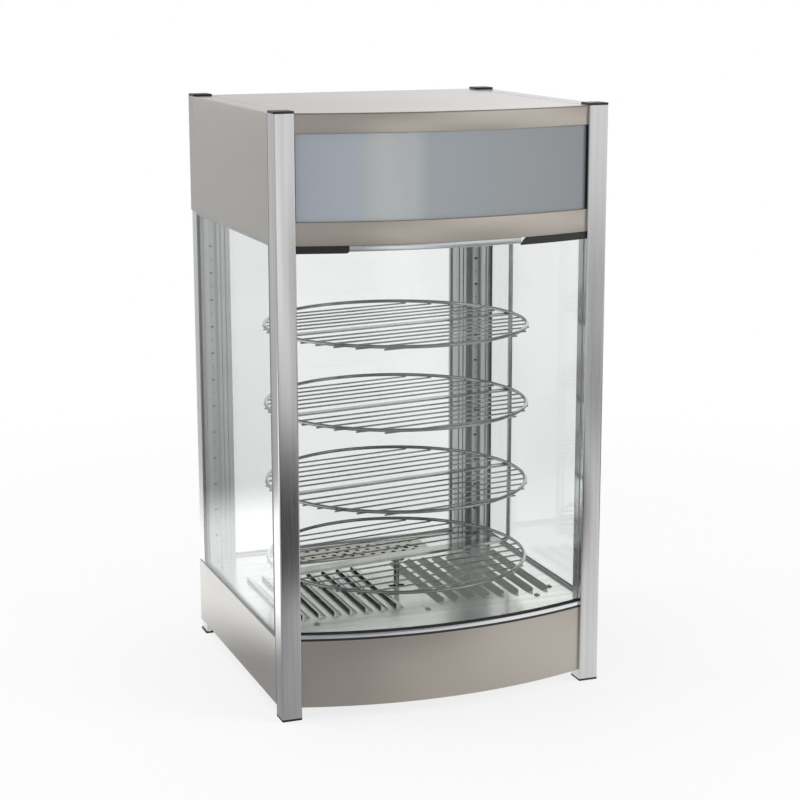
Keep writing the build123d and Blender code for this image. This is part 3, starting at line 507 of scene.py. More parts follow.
def grained(name, dark, light, roughness, grain, relief, patches):
    """A surface with a fine relief and broad patches of colour and gloss."""
    material, tree, shader = new_material(name)
    patch_scale, detail, rough = patches
    broad = noise(tree, [patch_scale] * 3, detail, rough)
    tones(tree, shader, broad, dark, light, broad, roughness)
    bump(tree, shader, noise(tree, [grain] * 3, 2.0, 0.5), relief, PLAIN_RELIEF)
    return material, tree, shader


def coated_metal(name, dark, light, roughness, metallic, coat):
    """Satin paint with a slight pearl."""
    material, tree, shader = grained(name, dark, light, roughness, 420.0, 0.06, (3.0, 3.0, 0.55))
    fill(tree, shader, {"Metallic": metallic, "Specular IOR Level": 0.5})
    fill(tree, shader, {"Coat Weight": coat, "Coat Roughness": 0.12})
    return material


def moulded(name, dark, light, roughness, grain=1600.0, relief=0.15):
    """Plastic or rubber with a fine moulded grain."""
    return grained(name, dark, light, roughness, grain, relief, (40.0, 3.0, 0.6))[0]


def pane_glass(name, tint):
    """Clear pane: what is behind shows unbent, and the surface reflects more at a glancing angle."""
    material, tree, shader = new_material(name)
    tree.nodes.remove(shader)
    clear = add(tree, "ShaderNodeBsdfTransparent", {"Color": (*tint, 1)}).outputs[0]
    gloss = add(tree, "ShaderNodeBsdfGlossy", {"Color": (0.95, 0.97, 0.97, 1), "Roughness": 0.02}).outputs[0]
    facing = add(tree, "ShaderNodeLayerWeight", {"Blend": 0.5}).outputs["Facing"]
    share = calc(tree, "MULTIPLY_ADD", calc(tree, "POWER", facing, GLARE_POWER), GLARE_RISE, GLARE_LEAST)
    fill(tree, tree.nodes["Material Output"], {"Surface": mixed(tree, share, clear, gloss)})
    return material


def glass_edge(name, dark, light):
    """The ground edge of a pane, greenish with depth."""
    material, tree, shader = new_material(name)
    broad = noise(tree, (60.0, 60.0, 25.0), 2.0, 0.5)
    tones(tree, shader, broad, dark, light, broad, (0.12, 0.3))
    return material


def acrylic(name, painted_shading):
    """Glossy sign sheet; painted_shading holds (share of the width from the left, colour): lighter at the
    left and darker at the right, a painted reflection and painted shade across the sheet.
    """
    material, tree, shader = new_material(name)
    x = add(tree, "ShaderNodeSeparateXYZ", {0: place(tree)}).outputs["X"]
    colour = ramp(tree, spread(tree, x, 0.0, 1.0, -PANEL_X, PANEL_X), painted_shading, "LINEAR")
    roughness = spread(tree, noise(tree, (7.0, 2.0, 1.2), 2.0, 0.5), 0.07, 0.11)
    fill(tree, shader, {"Base Color": colour, "Roughness": roughness})
    fill(tree, shader, {"Coat Weight": 0.5, "Coat Roughness": 0.05})
    return material


POST_GRAIN = (1400.0, 1400.0, 12.0)
TRIM_GRAIN = (40.0, 900.0, 900.0)
SHEET_GRAIN = (14.0, 700.0, 700.0)
# Sign colour across its width, lighter at the left and darker at the right: painted reflection and painted
# shade
SIGN_PAINTED_SHADING = (
    (0.0, (0.43, 0.47, 0.525)), (0.19, (0.435, 0.475, 0.525)), (0.23, (0.46, 0.485, 0.49)),
    (0.37, (0.42, 0.445, 0.455)), (0.42, (0.325, 0.35, 0.375)), (0.76, (0.235, 0.253, 0.265)),
    (1.0, (0.18, 0.195, 0.205)),
)
ALUMINIUM = brushed_metal("brushed_aluminium", (0.61, 0.615, 0.61), (0.71, 0.715, 0.71), (0.14, 0.22),
                          POST_GRAIN, 0.08)
SATIN = brushed_metal("satin_aluminium", (0.75, 0.76, 0.755), (0.84, 0.85, 0.845), (0.38, 0.46),
                      POST_GRAIN, 0.08)
ALUMINIUM_ACROSS = brushed_metal("brushed_aluminium_across", (0.6, 0.605, 0.605), (0.78, 0.785, 0.785),
                                 (0.2, 0.3), (9.0, 900.0, 900.0))
# The bottom trim's metal is made lighter and the top trim's copy of it darker: painted light on the bottom
# trim, painted shade on the top trim
TRIM = brushed_metal("trim_metal", (0.8, 0.81, 0.83), (0.9, 0.91, 0.93), (0.12, 0.2), TRIM_GRAIN, 0.05)
SHADED_TOP_TRIM = brushed_metal("top_trim_metal", (0.5, 0.53, 0.54), (0.66, 0.69, 0.7), (0.12, 0.2),
                         TRIM_GRAIN, 0.05)
STAINLESS = brushed_metal("stainless", (0.76, 0.77, 0.745), (0.92, 0.93, 0.9), (0.16, 0.26), SHEET_GRAIN)
# Darker copy of the stainless for the louvres' ramps: painted shade
LOUVRE_SHADED_STEEL = brushed_metal("louvre_steel", (0.5, 0.5, 0.475), (0.6, 0.6, 0.57), (0.3, 0.4),
                             (700.0, 14.0, 700.0))
# Darker, browner steel for the grille: a painted reflection of something darker
GRILLE_SHADED_STEEL = brushed_metal("grille_steel", (0.47, 0.455, 0.41), (0.58, 0.565, 0.51), (0.22, 0.32),
                             SHEET_GRAIN)
ZINC = brushed_metal("zinc_steel", (0.6, 0.615, 0.61), (0.72, 0.735, 0.73), (0.35, 0.5), (60.0, 60.0, 60.0))
CHROME = brushed_metal("chrome_wire", (0.33, 0.35, 0.34), (0.47, 0.49, 0.48), (0.08, 0.14),
                       (300.0, 300.0, 300.0), 0.05)
BRASS = brushed_metal("bush_brass", (0.62, 0.45, 0.2), (0.74, 0.57, 0.3), (0.25, 0.4), (500.0, 500.0, 40.0))
brushed_metal("heater_steel", (0.16, 0.14, 0.13), (0.28, 0.24, 0.2), (0.4, 0.55), (90.0, 90.0, 90.0))
SIDE_PAINT = coated_metal("side_paint", (0.36, 0.34, 0.31), (0.39, 0.368, 0.335), (0.3, 0.36), 0.55, 0.5)
FRONT_PAINT = coated_metal("front_paint", (0.47, 0.43, 0.385), (0.51, 0.468, 0.42), (0.26, 0.32), 0.8, 0.0)
SIGN = acrylic("sign_acrylic", SIGN_PAINTED_SHADING)
BLACK = moulded("black_plastic", (0.012, 0.012, 0.013), (0.022, 0.022, 0.024), (0.35, 0.5))
RUBBER = moulded("black_rubber", (0.016, 0.017, 0.019), (0.03, 0.031, 0.033), (0.5, 0.68), 900.0)
PALE_SEAL = moulded("pale_seal", (0.58, 0.6, 0.6), (0.66, 0.68, 0.68), (0.4, 0.55), 900.0)
GREY_SEAL = moulded("grey_seal", (0.34, 0.355, 0.365), (0.42, 0.435, 0.445), (0.4, 0.55), 900.0)
PRINT = moulded("white_print", (0.72, 0.72, 0.7), (0.78, 0.78, 0.76), (0.5, 0.6), 900.0, 0.05)
moulded("lamp_glass", (0.85, 0.85, 0.82), (0.92, 0.92, 0.88), (0.25, 0.35), 600.0, 0.03)
CLEAR = pane_glass("clear_glass", (0.967, 0.973, 0.968))
PANE_EDGE = glass_edge("glass_edge", (0.2, 0.26, 0.25), (0.42, 0.5, 0.48))


def carry_over():
    """Gives every CAD node the finish that is named as its slot."""
    for node, slot in SLOTS.items():
        materials = nodes[node].data.materials
        materials.clear()
        materials.append(FINISHES[slot])


carry_over()


# Posts, caps and foot pads

NOTCH_W = 0.011
NOTCH_D = 0.01
GROOVE_W = 0.0025
GROOVE_D = 0.003
GROOVE_FROM_SIDE = 0.008
END_R = 0.0012
END_GAP = 0.0002


def front_post_form():
    plan = rounded(rect(INNER_X, HALF_W, -HALF_D, -INNER_Y), POST_EDGE, 6)
    return Form().prism(plan, POST_FOOT, POST_TOP)


def rear_post_form():
    """Post with the shelf standard's notch in its inner corner and a groove in its front face."""
    groove_x = HALF_W - GROOVE_FROM_SIDE
    groove_y = INNER_Y + GROOVE_D
    near_x = groove_x - GROOVE_W
    cut_x = INNER_X + NOTCH_W
    cut_y = INNER_Y + NOTCH_D
    plan = [(cut_x, INNER_Y), (near_x, INNER_Y), (near_x, groove_y), (groove_x, groove_y),
            (groove_x, INNER_Y), (SKIN_X, INNER_Y), (SKIN_X, HALF_D), (INNER_X, HALF_D), (INNER_X, cut_y),
            (cut_x, cut_y)]
    return Form().prism(plan, POST_FOOT, POST_TOP)


def post_ends(z0, z1):
    """Four moulded squares over the posts' ends."""
    form = Form()
    for y0, y1 in ((-HALF_D, -INNER_Y), (INNER_Y, HALF_D)):
        form.prism(rounded(rect(INNER_X + END_GAP, HALF_W, y0, y1), END_R, 4), z0, z1)
    return form.mirrored()


show_pair("front_{}_post", front_post_form, ALUMINIUM, smooth=50)
show_pair("rear_{}_post", rear_post_form, SATIN)
show("post_caps", post_ends(POST_TOP, HEIGHT), BLACK, bevel=0.0007)
show("foot_pads", post_ends(0.0, POST_FOOT), BLACK, bevel=0.0005)


# Bowed front

CHANNEL = 0.0098
SEAL_TOP = BASE_TOP + 0.003
SEAL_SETBACK = 0.0005
TRIM_TOP = SEAL_TOP + 0.0055
TRIM_R = 0.0006
TRIM_REAR_R = 0.0004
GASKET_TOP = TRIM_TOP + 0.0018
REAR_LIP_DROP = 0.001
FRONT_LIP_DROP = 0.0015
GLASS_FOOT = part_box("front_glass")[0].z
GLASS_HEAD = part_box("front_glass")[1].z
SIGN_INSET = 0.0025
SIGN_T = 0.003
SIGN_END_GAP = 0.0018
SIGN_X = PANEL_X - SIGN_END_GAP
TOP_TRIM_H = 0.008
TOP_TRIM_INSET = 0.001
TOP_TRIM_R = 0.0007
CLIP_H = 0.01
CLIP_R = 0.004
CLIP_TOE = 0.0006
LEFT_CLIP_L = 0.067
RIGHT_CLIP_L = 0.107
LEFT_CLIP_END = LEFT_CLIP_L - INNER_X
RIGHT_CLIP_END = INNER_X - RIGHT_CLIP_L
RIGHT_CLIP_SLANT = 0.008
RIGHT_CLIP_STEPS = 23


def folded(z0, z1):
    """Section of a bowed sheet with a flange at the top and the bottom."""
    points = [(0, z0), (FLANGE, z0), (FLANGE, z0 + SHEET), (SHEET, z0 + SHEET), (SHEET, z1 - SHEET),
              (FLANGE, z1 - SHEET), (FLANGE, z1), (0, z1)]
    return rounded(points, [BEND, 0, 0, 0, 0, 0, 0, BEND], 4)


def bottom_trim_profile():
    """Channel that holds the glass's foot."""
    back = CHANNEL - SHEET
    floor = SEAL_TOP + SHEET
    points = [(0, SEAL_TOP), (CHANNEL, SEAL_TOP), (CHANNEL, TRIM_TOP), (back, TRIM_TOP), (back, floor),
              (SHEET, floor), (SHEET, TRIM_TOP), (0, TRIM_TOP)]
    return rounded(points, [TRIM_R, TRIM_REAR_R, EDGE, EDGE, 0, 0, EDGE, TRIM_R], 4)


def lower_rail_profile():
    """Angle over the glass with a lip that hangs behind it."""
    under = SIGN_BOTTOM - SHEET
    back = CHANNEL - SHEET
    points = [(0, HEADER_BOTTOM), (SHEET, HEADER_BOTTOM), (SHEET, under), (back, under), (back, SIDE_TOP),
              (CHANNEL, SIDE_TOP), (CHANNEL, SIGN_BOTTOM), (0, SIGN_BOTTOM)]
    return rounded(points, [TRIM_REAR_R, TRIM_REAR_R, 0, 0, 0, 0, BEND, BEND], 4)


def front_gaskets_form():
    """Lipped channel at the glass's foot and the packing at its head."""
    back = GLASS_INSET + GLASS
    rear = CHANNEL - SHEET
    low = SEAL_TOP + SHEET
    points = [(SHEET, low), (rear, low), (rear, GASKET_TOP - REAR_LIP_DROP), (back, GASKET_TOP),
              (back, GLASS_FOOT), (GLASS_INSET, GLASS_FOOT), (GLASS_INSET, GASKET_TOP),
              (SHEET, GASKET_TOP - FRONT_LIP_DROP)]
    return Form().bow(points).bow(rect(SHEET, GLASS_INSET, HEADER_BOTTOM, GLASS_HEAD))


def front_seals_form():
    """The black line under the trim and the strips at the sign's ends."""
    strip = rect(SIGN_INSET, SIGN_INSET + SIGN_T, SIGN_BOTTOM, SIGN_TOP)
    form = Form().bow(rect(SEAL_SETBACK, CHANNEL, BASE_TOP, SEAL_TOP))
    return form.bow(strip, -PANEL_X, -SIGN_X, steps=2).bow(strip, SIGN_X, PANEL_X, steps=2)


def clips_form():
    """Clips at the glass's top corners: the left one ends round, the right one on a slant."""
    low = HEADER_BOTTOM - CLIP_H
    left = [(-PANEL_X, low, HEADER_BOTTOM)]
    for t in [a * math.pi / 16 for a in range(9)]:
        x = LEFT_CLIP_END - CLIP_R * (1 - math.sin(t))
        left.append((x, low + CLIP_R * (1 - math.cos(t)), HEADER_BOTTOM))
    right = []
    for k in range(RIGHT_CLIP_STEPS + 1):
        reach = (PANEL_X - RIGHT_CLIP_END) * k / RIGHT_CLIP_STEPS
        head = low + min(1.0, (reach + CLIP_TOE) / RIGHT_CLIP_SLANT) * CLIP_H
        right.append((RIGHT_CLIP_END + reach, low, head))
    form = Form()
    for clip in (left, right):
        sections = [(x, rect(0.0, GLASS_INSET, foot, head)) for x, foot, head in clip]
        form.loft([[(x, bow_y(x, inset), z) for inset, z in section] for x, section in sections])
    return form


def build_front():
    """The bowed pieces from the base up to the header's top."""
    show("base_front_panel", Form().bow(folded(BASE_BOTTOM, BASE_TOP)), FRONT_PAINT, bevel=0)
    show("glass_bottom_trim", Form().bow(bottom_trim_profile()), TRIM, bevel=0)
    show("front_glass_gaskets", front_gaskets_form(), RUBBER)
    show("front_seals", front_seals_form(), RUBBER, bevel=0.0002)
    pane = Form().bow(rect(GLASS_INSET, GLASS_INSET + GLASS, GLASS_FOOT, GLASS_HEAD))
    edge_slots(show("front_glass", pane, CLEAR, PANE_EDGE, bevel=0), 0)
    show("header_bottom_rail", Form().bow(lower_rail_profile()), FRONT_PAINT, bevel=0)
    show("header_top_rail", Form().bow(folded(SIGN_TOP, HEADER_TOP)), FRONT_PAINT, bevel=0)
    sheet = rect(SIGN_INSET, SIGN_INSET + SIGN_T, SIGN_BOTTOM, SIGN_TOP)
    show("sign_panel", Form().bow(sheet, -SIGN_X, SIGN_X), SIGN)
    strip = rect(TOP_TRIM_INSET, GLASS_INSET, HEADER_BOTTOM - TOP_TRIM_H, HEADER_BOTTOM)
    trim = Form().bow(rounded(strip, TOP_TRIM_R, 3), LEFT_CLIP_END, RIGHT_CLIP_END)
    show("glass_top_trim", trim, SHADED_TOP_TRIM, bevel=0)
    show("front_glass_clips", clips_form(), BLACK, bevel=0.0005)


build_front()


# Sides and top

GASKET_W = 0.0035
GASKET_RIB = 0.0004
INNER_LIP = 0.0018
GLASS_IN_X = HALF_W - GLASS
SEAT_GAP = 0.0005
SEAT_X = GLASS_IN_X - SEAT_GAP
SIDE_Y = INNER_Y - FIT
TOP_GAP = 0.0012


def side_glass_form():
    y1 = SIDE_Y - GASKET_W
    return Form().box(GLASS_IN_X, HALF_W, -y1, y1, SIDE_LOW + GASKET_W, SIDE_TOP - GASKET_W)


def frame_loop(profile, y0, y1, z0, z1):
    """Rings of an (x, inward) profile carried round a rectangle's four mitred corners."""
    corners = ((y0, 1, z0, 1), (y1, -1, z0, 1), (y1, -1, z1, -1), (y0, 1, z1, -1))
    return [[(x, y + sy * inward, z + sz * inward) for x, inward in profile] for y, sy, z, sz in corners]


def side_gaskets_form():
    """Rubber frames with two beads showing outside."""
    rib = GASKET_RIB
    split = GASKET_W / 2
    profile = [(SEAT_X, 0), (SEAT_X, INNER_LIP), (GLASS_IN_X, INNER_LIP), (GLASS_IN_X, GASKET_W),
               (HALF_W - rib, GASKET_W), (HALF_W, GASKET_W - rib), (HALF_W, split + rib),
               (HALF_W - 2 * rib, split), (HALF_W, split - rib), (HALF_W, rib), (HALF_W - rib, 0)]
    return Form().loft(frame_loop(profile, -SIDE_Y, SIDE_Y, SIDE_LOW, SIDE_TOP), wrap=True).mirrored()


def shade_side_gaskets(seals):
    """Pale against the panes, grey inside, beside the frame and under the header, black elsewhere."""
    for face in seals.data.polygons:
        x, y, z = face.center
        from_frame = min(SIDE_Y - abs(y), z - SIDE_LOW, SIDE_TOP - z)
        if abs(abs(x) - GLASS_IN_X) < FIT:
            face.material_index = 2
        elif abs(x) < GLASS_IN_X or from_frame < GASKET_W / 2 or z > SIDE_TOP - 2 * GASKET_W:
            face.material_index = 1


def channel(foot, skin, head, low, high):
    """Section of a sheet folded in at its foot and its head; skin is its outer face."""
    inner = skin - SHEET
    points = [(foot, low), (skin, low), (skin, high), (head, high), (head, high - SHEET),
              (inner, high - SHEET), (inner, low + SHEET), (foot, low + SHEET)]
    return rounded(points, [0, BEND, BEND, 0, 0, 0, 0, 0], 4)


def side_sheet(z0, z1, top_x):
    """Folded sheet with flanges at the foot and the top, lapping the rear post."""
    form = Form().along_y(channel(SKIN_X - FLANGE, HALF_W, top_x, z0, z1), -SIDE_Y, SIDE_Y)
    return form.box(SKIN_X, HALF_W, SIDE_Y, HALF_D, z0, z1)


def upper_side_form():
    return side_sheet(SIDE_TOP, POST_TOP, INNER_X)


def lower_side_form():
    """Sheet beside the base, with a ledge under the floor plate's edge."""
    ledge = FLOOR_Z - FLANGE
    form = side_sheet(BASE_BOTTOM, SIDE_LOW, SEAT_X)
    return form.box(SKIN_X - FLANGE, SKIN_X, -SIDE_Y, SIDE_Y, ledge - SHEET, ledge)


def build_sides():
    """Glass, gaskets and sheets beside the cabinet, and its top."""
    for pane in show_pair("{}_side_glass", side_glass_form, CLEAR, PANE_EDGE, bevel=0):
        edge_slots(pane, 1)
    shade_side_gaskets(show("side_glass_gaskets", side_gaskets_form(), RUBBER, GREY_SEAL, PALE_SEAL, bevel=0))
    show_pair("upper_{}_panel", upper_side_form, SIDE_PAINT, bevel=0)
    show_pair("lower_{}_panel", lower_side_form, SIDE_PAINT, bevel=0)
    top_x = PANEL_X - TOP_GAP
    outline = bow_line(reach=top_x) + [(top_x, HALF_D), (-top_x, HALF_D)]
    show("top_panel", Form().prism(outline, HEADER_TOP, POST_TOP), SIDE_PAINT, bevel=0.0004)


build_sides()


# Louvred floor plate and grille

LOUVRE_L = 0.205
LOUVRE_W = 0.011
LOUVRE_H = 0.0055
LOUVRE_DRAW = 0.6
LOUVRE_PITCH = 0.023
LOUVRE_MOUTH = 0.0365
LOUVRE_MID_Y = -0.0185
LOUVRES_A_SIDE = 8
LOUVRE_SHELL = 0.0008
LOUVRE_RIM = 0.0006
LOUVRE_LIFT = 0.00005
SHELL_SHARE = 0.88
SHELL_LENGTH_SHARE = 0.996
SLIT_SHARE = 0.9
SLIT_LENGTH_SHARE = 0.99
PLATE_GAP = 0.0003
PLATE_X = SEAT_X - PLATE_GAP
PLATE_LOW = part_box("floor_plate")[0].z
PLATE_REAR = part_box("floor_plate")[1].y
SLOT_L = 0.023
SLOT_W = 0.0095
FLOOR_SCREWS = ((0.2052, -0.1055), (0.172, -0.1355), (0.0034, -0.1373), (-0.1626, -0.1429), (-0.2032, -0.104))
GRILLE_HOLE = 0.0075
GRILLE_PITCH = 0.0168
GRILLE_ROWS = (0.008, 0.0205, 0.0335, 0.0525)
GRILLE_CORNER = 0.003
OVAL_ROW = 2
OVAL_L = 0.016
OVAL_W = 0.008
OVAL_X = -0.0675


def louvre_stations():
    """Places along a louvre with the share of its width there; its ends are half round."""
    r = LOUVRE_W / 2
    straight = LOUVRE_L / 2 - r
    ends = [(straight + r * math.sin(k * math.pi / 20), math.cos(k * math.pi / 20)) for k in range(10)]
    return [(-y, wide) for y, wide in reversed(ends)] + ends


def hood_rings():
    """Shell of one louvre: a flat ramp up to its mouth at X = 0, drawn down at its round ends."""
    r = LOUVRE_W / 2
    rings = []
    for y, wide in louvre_stations():
        near = r * (1 - wide)
        far = r * (1 + wide)
        rim = LOUVRE_RIM * wide
        high, low = [LOUVRE_H * wide ** LOUVRE_DRAW * (1 - x / LOUVRE_W) for x in (near, far)]
        foot = 0.0 if wide < 1 else high - LOUVRE_SHELL
        outer = [(near, foot), (near, high - LOUVRE_RIM), (near + rim, high),
                 (far - rim, low + LOUVRE_RIM / 2), (far, low)]
        ring = [(x, y, z + LOUVRE_LIFT) for x, z in outer]
        for x, z in reversed(outer[1:]):
            inner_z = max(z - LOUVRE_SHELL, -LOUVRE_SHELL)
            ring.append((r + (x - r) * SHELL_SHARE, y * SHELL_LENGTH_SHARE, inner_z))
        rings.append(ring)
    return rings


def slit_outline(x, side):
    """Plan of the opening under one louvre."""
    r = LOUVRE_W / 2
    stations = [(LOUVRE_MID_Y + y * SLIT_LENGTH_SHARE, wide * SLIT_SHARE) for y, wide in louvre_stations()]
    near = [(x - side * r * (1 - wide), y) for y, wide in stations]
    return [(x - side * r * (1 + wide), y) for y, wide in stations] + near[::-1]


def sheet_plan(inset, reach, rear):
    """Plan of a sheet that is bowed in front and wider between the posts."""
    right = [(PANEL_X, -SIDE_Y), (reach, -SIDE_Y), (reach, SIDE_Y), (PANEL_X, SIDE_Y), (PANEL_X, rear)]
    return bow_line(inset) + right + [(-x, y) for x, y in reversed(right)]


def floor_plate_form():
    """Plate with its vent, shaft slot, louvres, turned-down edges and screws."""
    form = Form()
    lo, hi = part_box("return_air_grille")
    lap = FLANGE / 2
    vent = rect(lo.x + lap, hi.x - lap, lo.y + lap, hi.y - lap)
    slot = rounded(block(0, RACK_Y, SLOT_L / 2, SLOT_W / 2), SLOT_W / 3, 4)
    places = [LOUVRE_MOUTH + i * LOUVRE_PITCH for i in range(LOUVRES_A_SIDE)]
    mouths = [(side * x, side) for side in (1, -1) for x in places]
    holes = [slit_outline(x, side) for x, side in mouths] + [slot, vent]
    form.plate(sheet_plan(FLANGE + PLATE_GAP, PLATE_X, PLATE_REAR), holes, FLOOR_Z - SHEET, FLOOR_Z)
    hood = hood_rings()
    for x, side in mouths:
        rings = [[(x - side * px, LOUVRE_MID_Y + py, FLOOR_Z + pz) for px, py, pz in ring] for ring in hood]
        # Slot 1 is the darker steel that paints shade on the louvres' ramps
        form.loft(rings, 1)
    under = FLOOR_Z - SHEET / 2
    for x0 in (-PLATE_X, PLATE_X - SHEET):
        form.box(x0, x0 + SHEET, -SIDE_Y, SIDE_Y, FLOOR_Z - FLANGE, under)
    form.box(-PANEL_X, PANEL_X, PLATE_REAR - SHEET, PLATE_REAR, PLATE_LOW, under)
    return add_screws(form, [(x, y, FLOOR_Z) for x, y in FLOOR_SCREWS], UP, slot=2)


def shade_floor_plate(plate):
    """Keeps the darker steel, a painted shade, on the louvres' ramps and the screws' own metal on their
    sides.
    """
    for face in plate.data.polygons:
        flat = abs(face.normal.z) > 0.8
        if (face.material_index, flat) in ((1, False), (2, True)):
            face.material_index = 0


def grille_form():
    """Plate with staggered rows of round holes and one oval vent."""
    lo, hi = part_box("return_air_grille")
    holes = []
    per_row = int((hi.x - lo.x - GRILLE_PITCH) / GRILLE_PITCH)
    for row, row_y in enumerate(GRILLE_ROWS):
        shift = (row % 2) * GRILLE_PITCH / 2 - GRILLE_PITCH / 4
        for i in range(per_row):
            x = (i - (per_row - 1) / 2) * GRILLE_PITCH + shift
            if row != OVAL_ROW or abs(x - OVAL_X) >= OVAL_L:
                holes.append(circle(GRILLE_HOLE / 2, 20, (x, lo.y + row_y)))
    oval = block(OVAL_X, lo.y + GRILLE_ROWS[OVAL_ROW], OVAL_L / 2, OVAL_W / 2)
    holes.append(rounded(oval, OVAL_W * CORNER_SHARE, 8))
    return Form().plate(rounded(rect(lo.x, hi.x, lo.y, hi.y), GRILLE_CORNER), holes, lo.z, hi.z)


shade_floor_plate(show("floor_plate", floor_plate_form(), STAINLESS, LOUVRE_SHADED_STEEL, CHROME, bevel=0))
show("return_air_grille", grille_form(), GRILLE_SHADED_STEEL, bevel=0)


# Turning wire rack

TIERS = 4
RACK_TURN = math.radians(8.2)
RING_R = 0.1858
RING_WIRE = 0.005
RING_STEPS = 144
WIRE = 0.0024
WIRE_FIRST = 0.0345
WIRE_PITCH = 0.0246
WIRE_OVERHANG = 0.0004
WIRE_END = ((0.5, 0.0), (0.85, 0.25), (1.0, 0.7))
NUGGET_R = WIRE * 0.62
STRIP_W = 0.015
STRIP_T = 0.002
STRIP_R = 0.0006
ROD_D = 0.0064
ROD_R = RING_R + RING_WIRE / 2 + ROD_D / 2
ROD_BEND = 0.007
BAR_END = 0.01
BAR_REACH = ROD_R - ROD_BEND - BAR_END
BAR_W = 0.022
BAR_T = 0.004
BAR_CORNER = 0.004
TOP_BAR_CORNER = 0.008
HUB_R = 0.012
HUB_T = 0.003
SHAFT_R = 0.004


def on_rack(form):
    """Turns a form drawn about the rack's axis to its place."""
    return form.turned(Matrix.Translation((0, RACK_Y, 0)) @ Matrix.Rotation(RACK_TURN, 4, "Z"))


def wire_along_x(form, y, z, half):
    """Straight wire with slightly rounded ends; WIRE_END has shares of its radius."""
    r = WIRE / 2
    profile = [(r * wide, -half + r * reach) for wide, reach in WIRE_END]
    profile += [(radius, -reach) for radius, reach in reversed(profile)]
    form.lathe(profile, (0, y, z), SIDEWAYS, sides=14)


def nugget(form, spot):
    """Weld between a wire and the ring above it."""
    turns = [a * math.pi / 8 for a in range(1, 8)]
    form.lathe([(NUGGET_R * math.sin(t), -NUGGET_R * math.cos(t)) for t in turns], spot, UP, sides=10)


def tier_form(tier):
    """A ring over straight wires, with a flat strip across all but the lowest."""
    form = Form()
    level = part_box(tier)[1].z - RING_WIRE / 2
    under = level - RING_WIRE / 2
    form.tube([(x, y, level) for x, y in circle(RING_R, RING_STEPS)], RING_WIRE / 2, wrap=True)
    offset = WIRE_FIRST
    while offset < RING_R - WIRE_PITCH:
        half = math.sqrt((RING_R + RING_WIRE / 2 + WIRE_OVERHANG) ** 2 - offset ** 2)
        touch = math.sqrt(RING_R ** 2 - offset ** 2)
        for y in (-offset, offset):
            wire_along_x(form, y, under - WIRE / 2, half)
            nugget(form, (-touch, y, under))
            nugget(form, (touch, y, under))
        offset += WIRE_PITCH
    if tier != "rack_tier_1":
        reach = ROD_R - ROD_D / 2
        strip = rect(-STRIP_W / 2, STRIP_W / 2, under - STRIP_T, under)
        form.along_x(rounded(strip, STRIP_R, 3), -reach, reach)
    return on_rack(form)


def rods_form():
    """Two upright rods whose feet bend in to the drive bar."""
    form = Form()
    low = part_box("rack_drive_bar")[1].z - BAR_T
    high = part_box("rack_rods")[1].z
    for side in (-1, 1):
        corners = [(side * BAR_REACH, 0, low), (side * ROD_R, 0, low), (side * ROD_R, 0, high)]
        form.tube(bent_path(corners, ROD_BEND), ROD_D / 2)
    return on_rack(form)


def bar_form(face, reach, corner, axis, pin):
    """Flat bar with rounded corners, its hub disc and its shaft or pin; face is the hub's side."""
    low, high = sorted((face, face - axis[2] * BAR_T))
    form = Form().prism(rounded(block(0, 0, reach, BAR_W / 2), corner, 6), low, high)
    return on_rack(form.stub((0, 0, face), axis, HUB_R, HUB_T).stub((0, 0, face), axis, SHAFT_R, pin))


def build_rack():
    """Tiers, rods, drive bar with its shaft and top bar with its pin."""
    for tier in [f"rack_tier_{i + 1}" for i in range(TIERS)]:
        show(tier, tier_form(tier), CHROME, body="rack", bevel=0, smooth=45)
    show("rack_rods", rods_form(), CHROME, body="rack", bevel=0, smooth=45)
    lo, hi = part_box("rack_drive_bar")
    face = hi.z - BAR_T
    show("rack_drive_bar", bar_form(face, BAR_REACH, BAR_CORNER, DOWN, face - lo.z), CHROME, body="rack")
    lo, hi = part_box("rack_top_bar")
    face = lo.z + BAR_T
    top_bar = bar_form(face, ROD_R + ROD_D / 2, TOP_BAR_CORNER, UP, hi.z - face)
    show("rack_top_bar", top_bar, CHROME, body="rack")


build_rack()


# Rear door

door_lo, door_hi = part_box("door_hinge_stile")
DOOR_X = door_hi.x
DOOR_IN_X = door_lo.x
DOOR_FRONT = door_lo.y
DOOR_BACK = door_hi.y
DOOR_MID = (DOOR_FRONT + DOOR_BACK) / 2
DOOR_LOW = door_lo.z
DOOR_HIGH = door_hi.z
DOOR_RAIL_H = 0.02
DOOR_RAIL_LOW = DOOR_LOW + DOOR_RAIL_H
DOOR_RAIL_HIGH = DOOR_HIGH - DOOR_RAIL_H
DOOR_GROOVE = 0.0015
DOOR_GROOVE_D = 0.004
DOOR_GROOVE_SHARES = (0.25, 0.6)
DOOR_LIP = 0.001
DOOR_LIP_CUT = 0.0008
DOOR_SLOT_W = 0.009
DOOR_SLOT_D = 0.008
PULL_T = 0.002
PULL_LIP = 0.012
PULL_RADII = [0.0004, 0.0004, 0.0008, 0.0006, 0.0006, 0.0008, 0.0008, 0.0016]
PULL_SCREW_Z = 0.02
PULL_SCREW_X = 0.006


def door_section(outer, inner):
    """Section of a door member from its outer edge to its glazed edge: grooved face and glazing slot."""
    step = 1 if inner > outer else -1
    groove = step * DOOR_GROOVE / 2
    deep = DOOR_FRONT + DOOR_GROOVE_D
    slot = inner - step * DOOR_SLOT_D
    near = DOOR_MID - DOOR_SLOT_W / 2
    far = DOOR_MID + DOOR_SLOT_W / 2
    points = [(outer, DOOR_FRONT)]
    for spot in [outer + (inner - outer) * share for share in DOOR_GROOVE_SHARES]:
        points += [(spot - groove, DOOR_FRONT), (spot - groove, deep), (spot + groove, deep),
                   (spot + groove, DOOR_FRONT)]
    return points + [(inner, DOOR_FRONT), (inner, near), (slot, near), (slot, far), (inner, far),
                     (inner, DOOR_BACK), (outer, DOOR_BACK)]


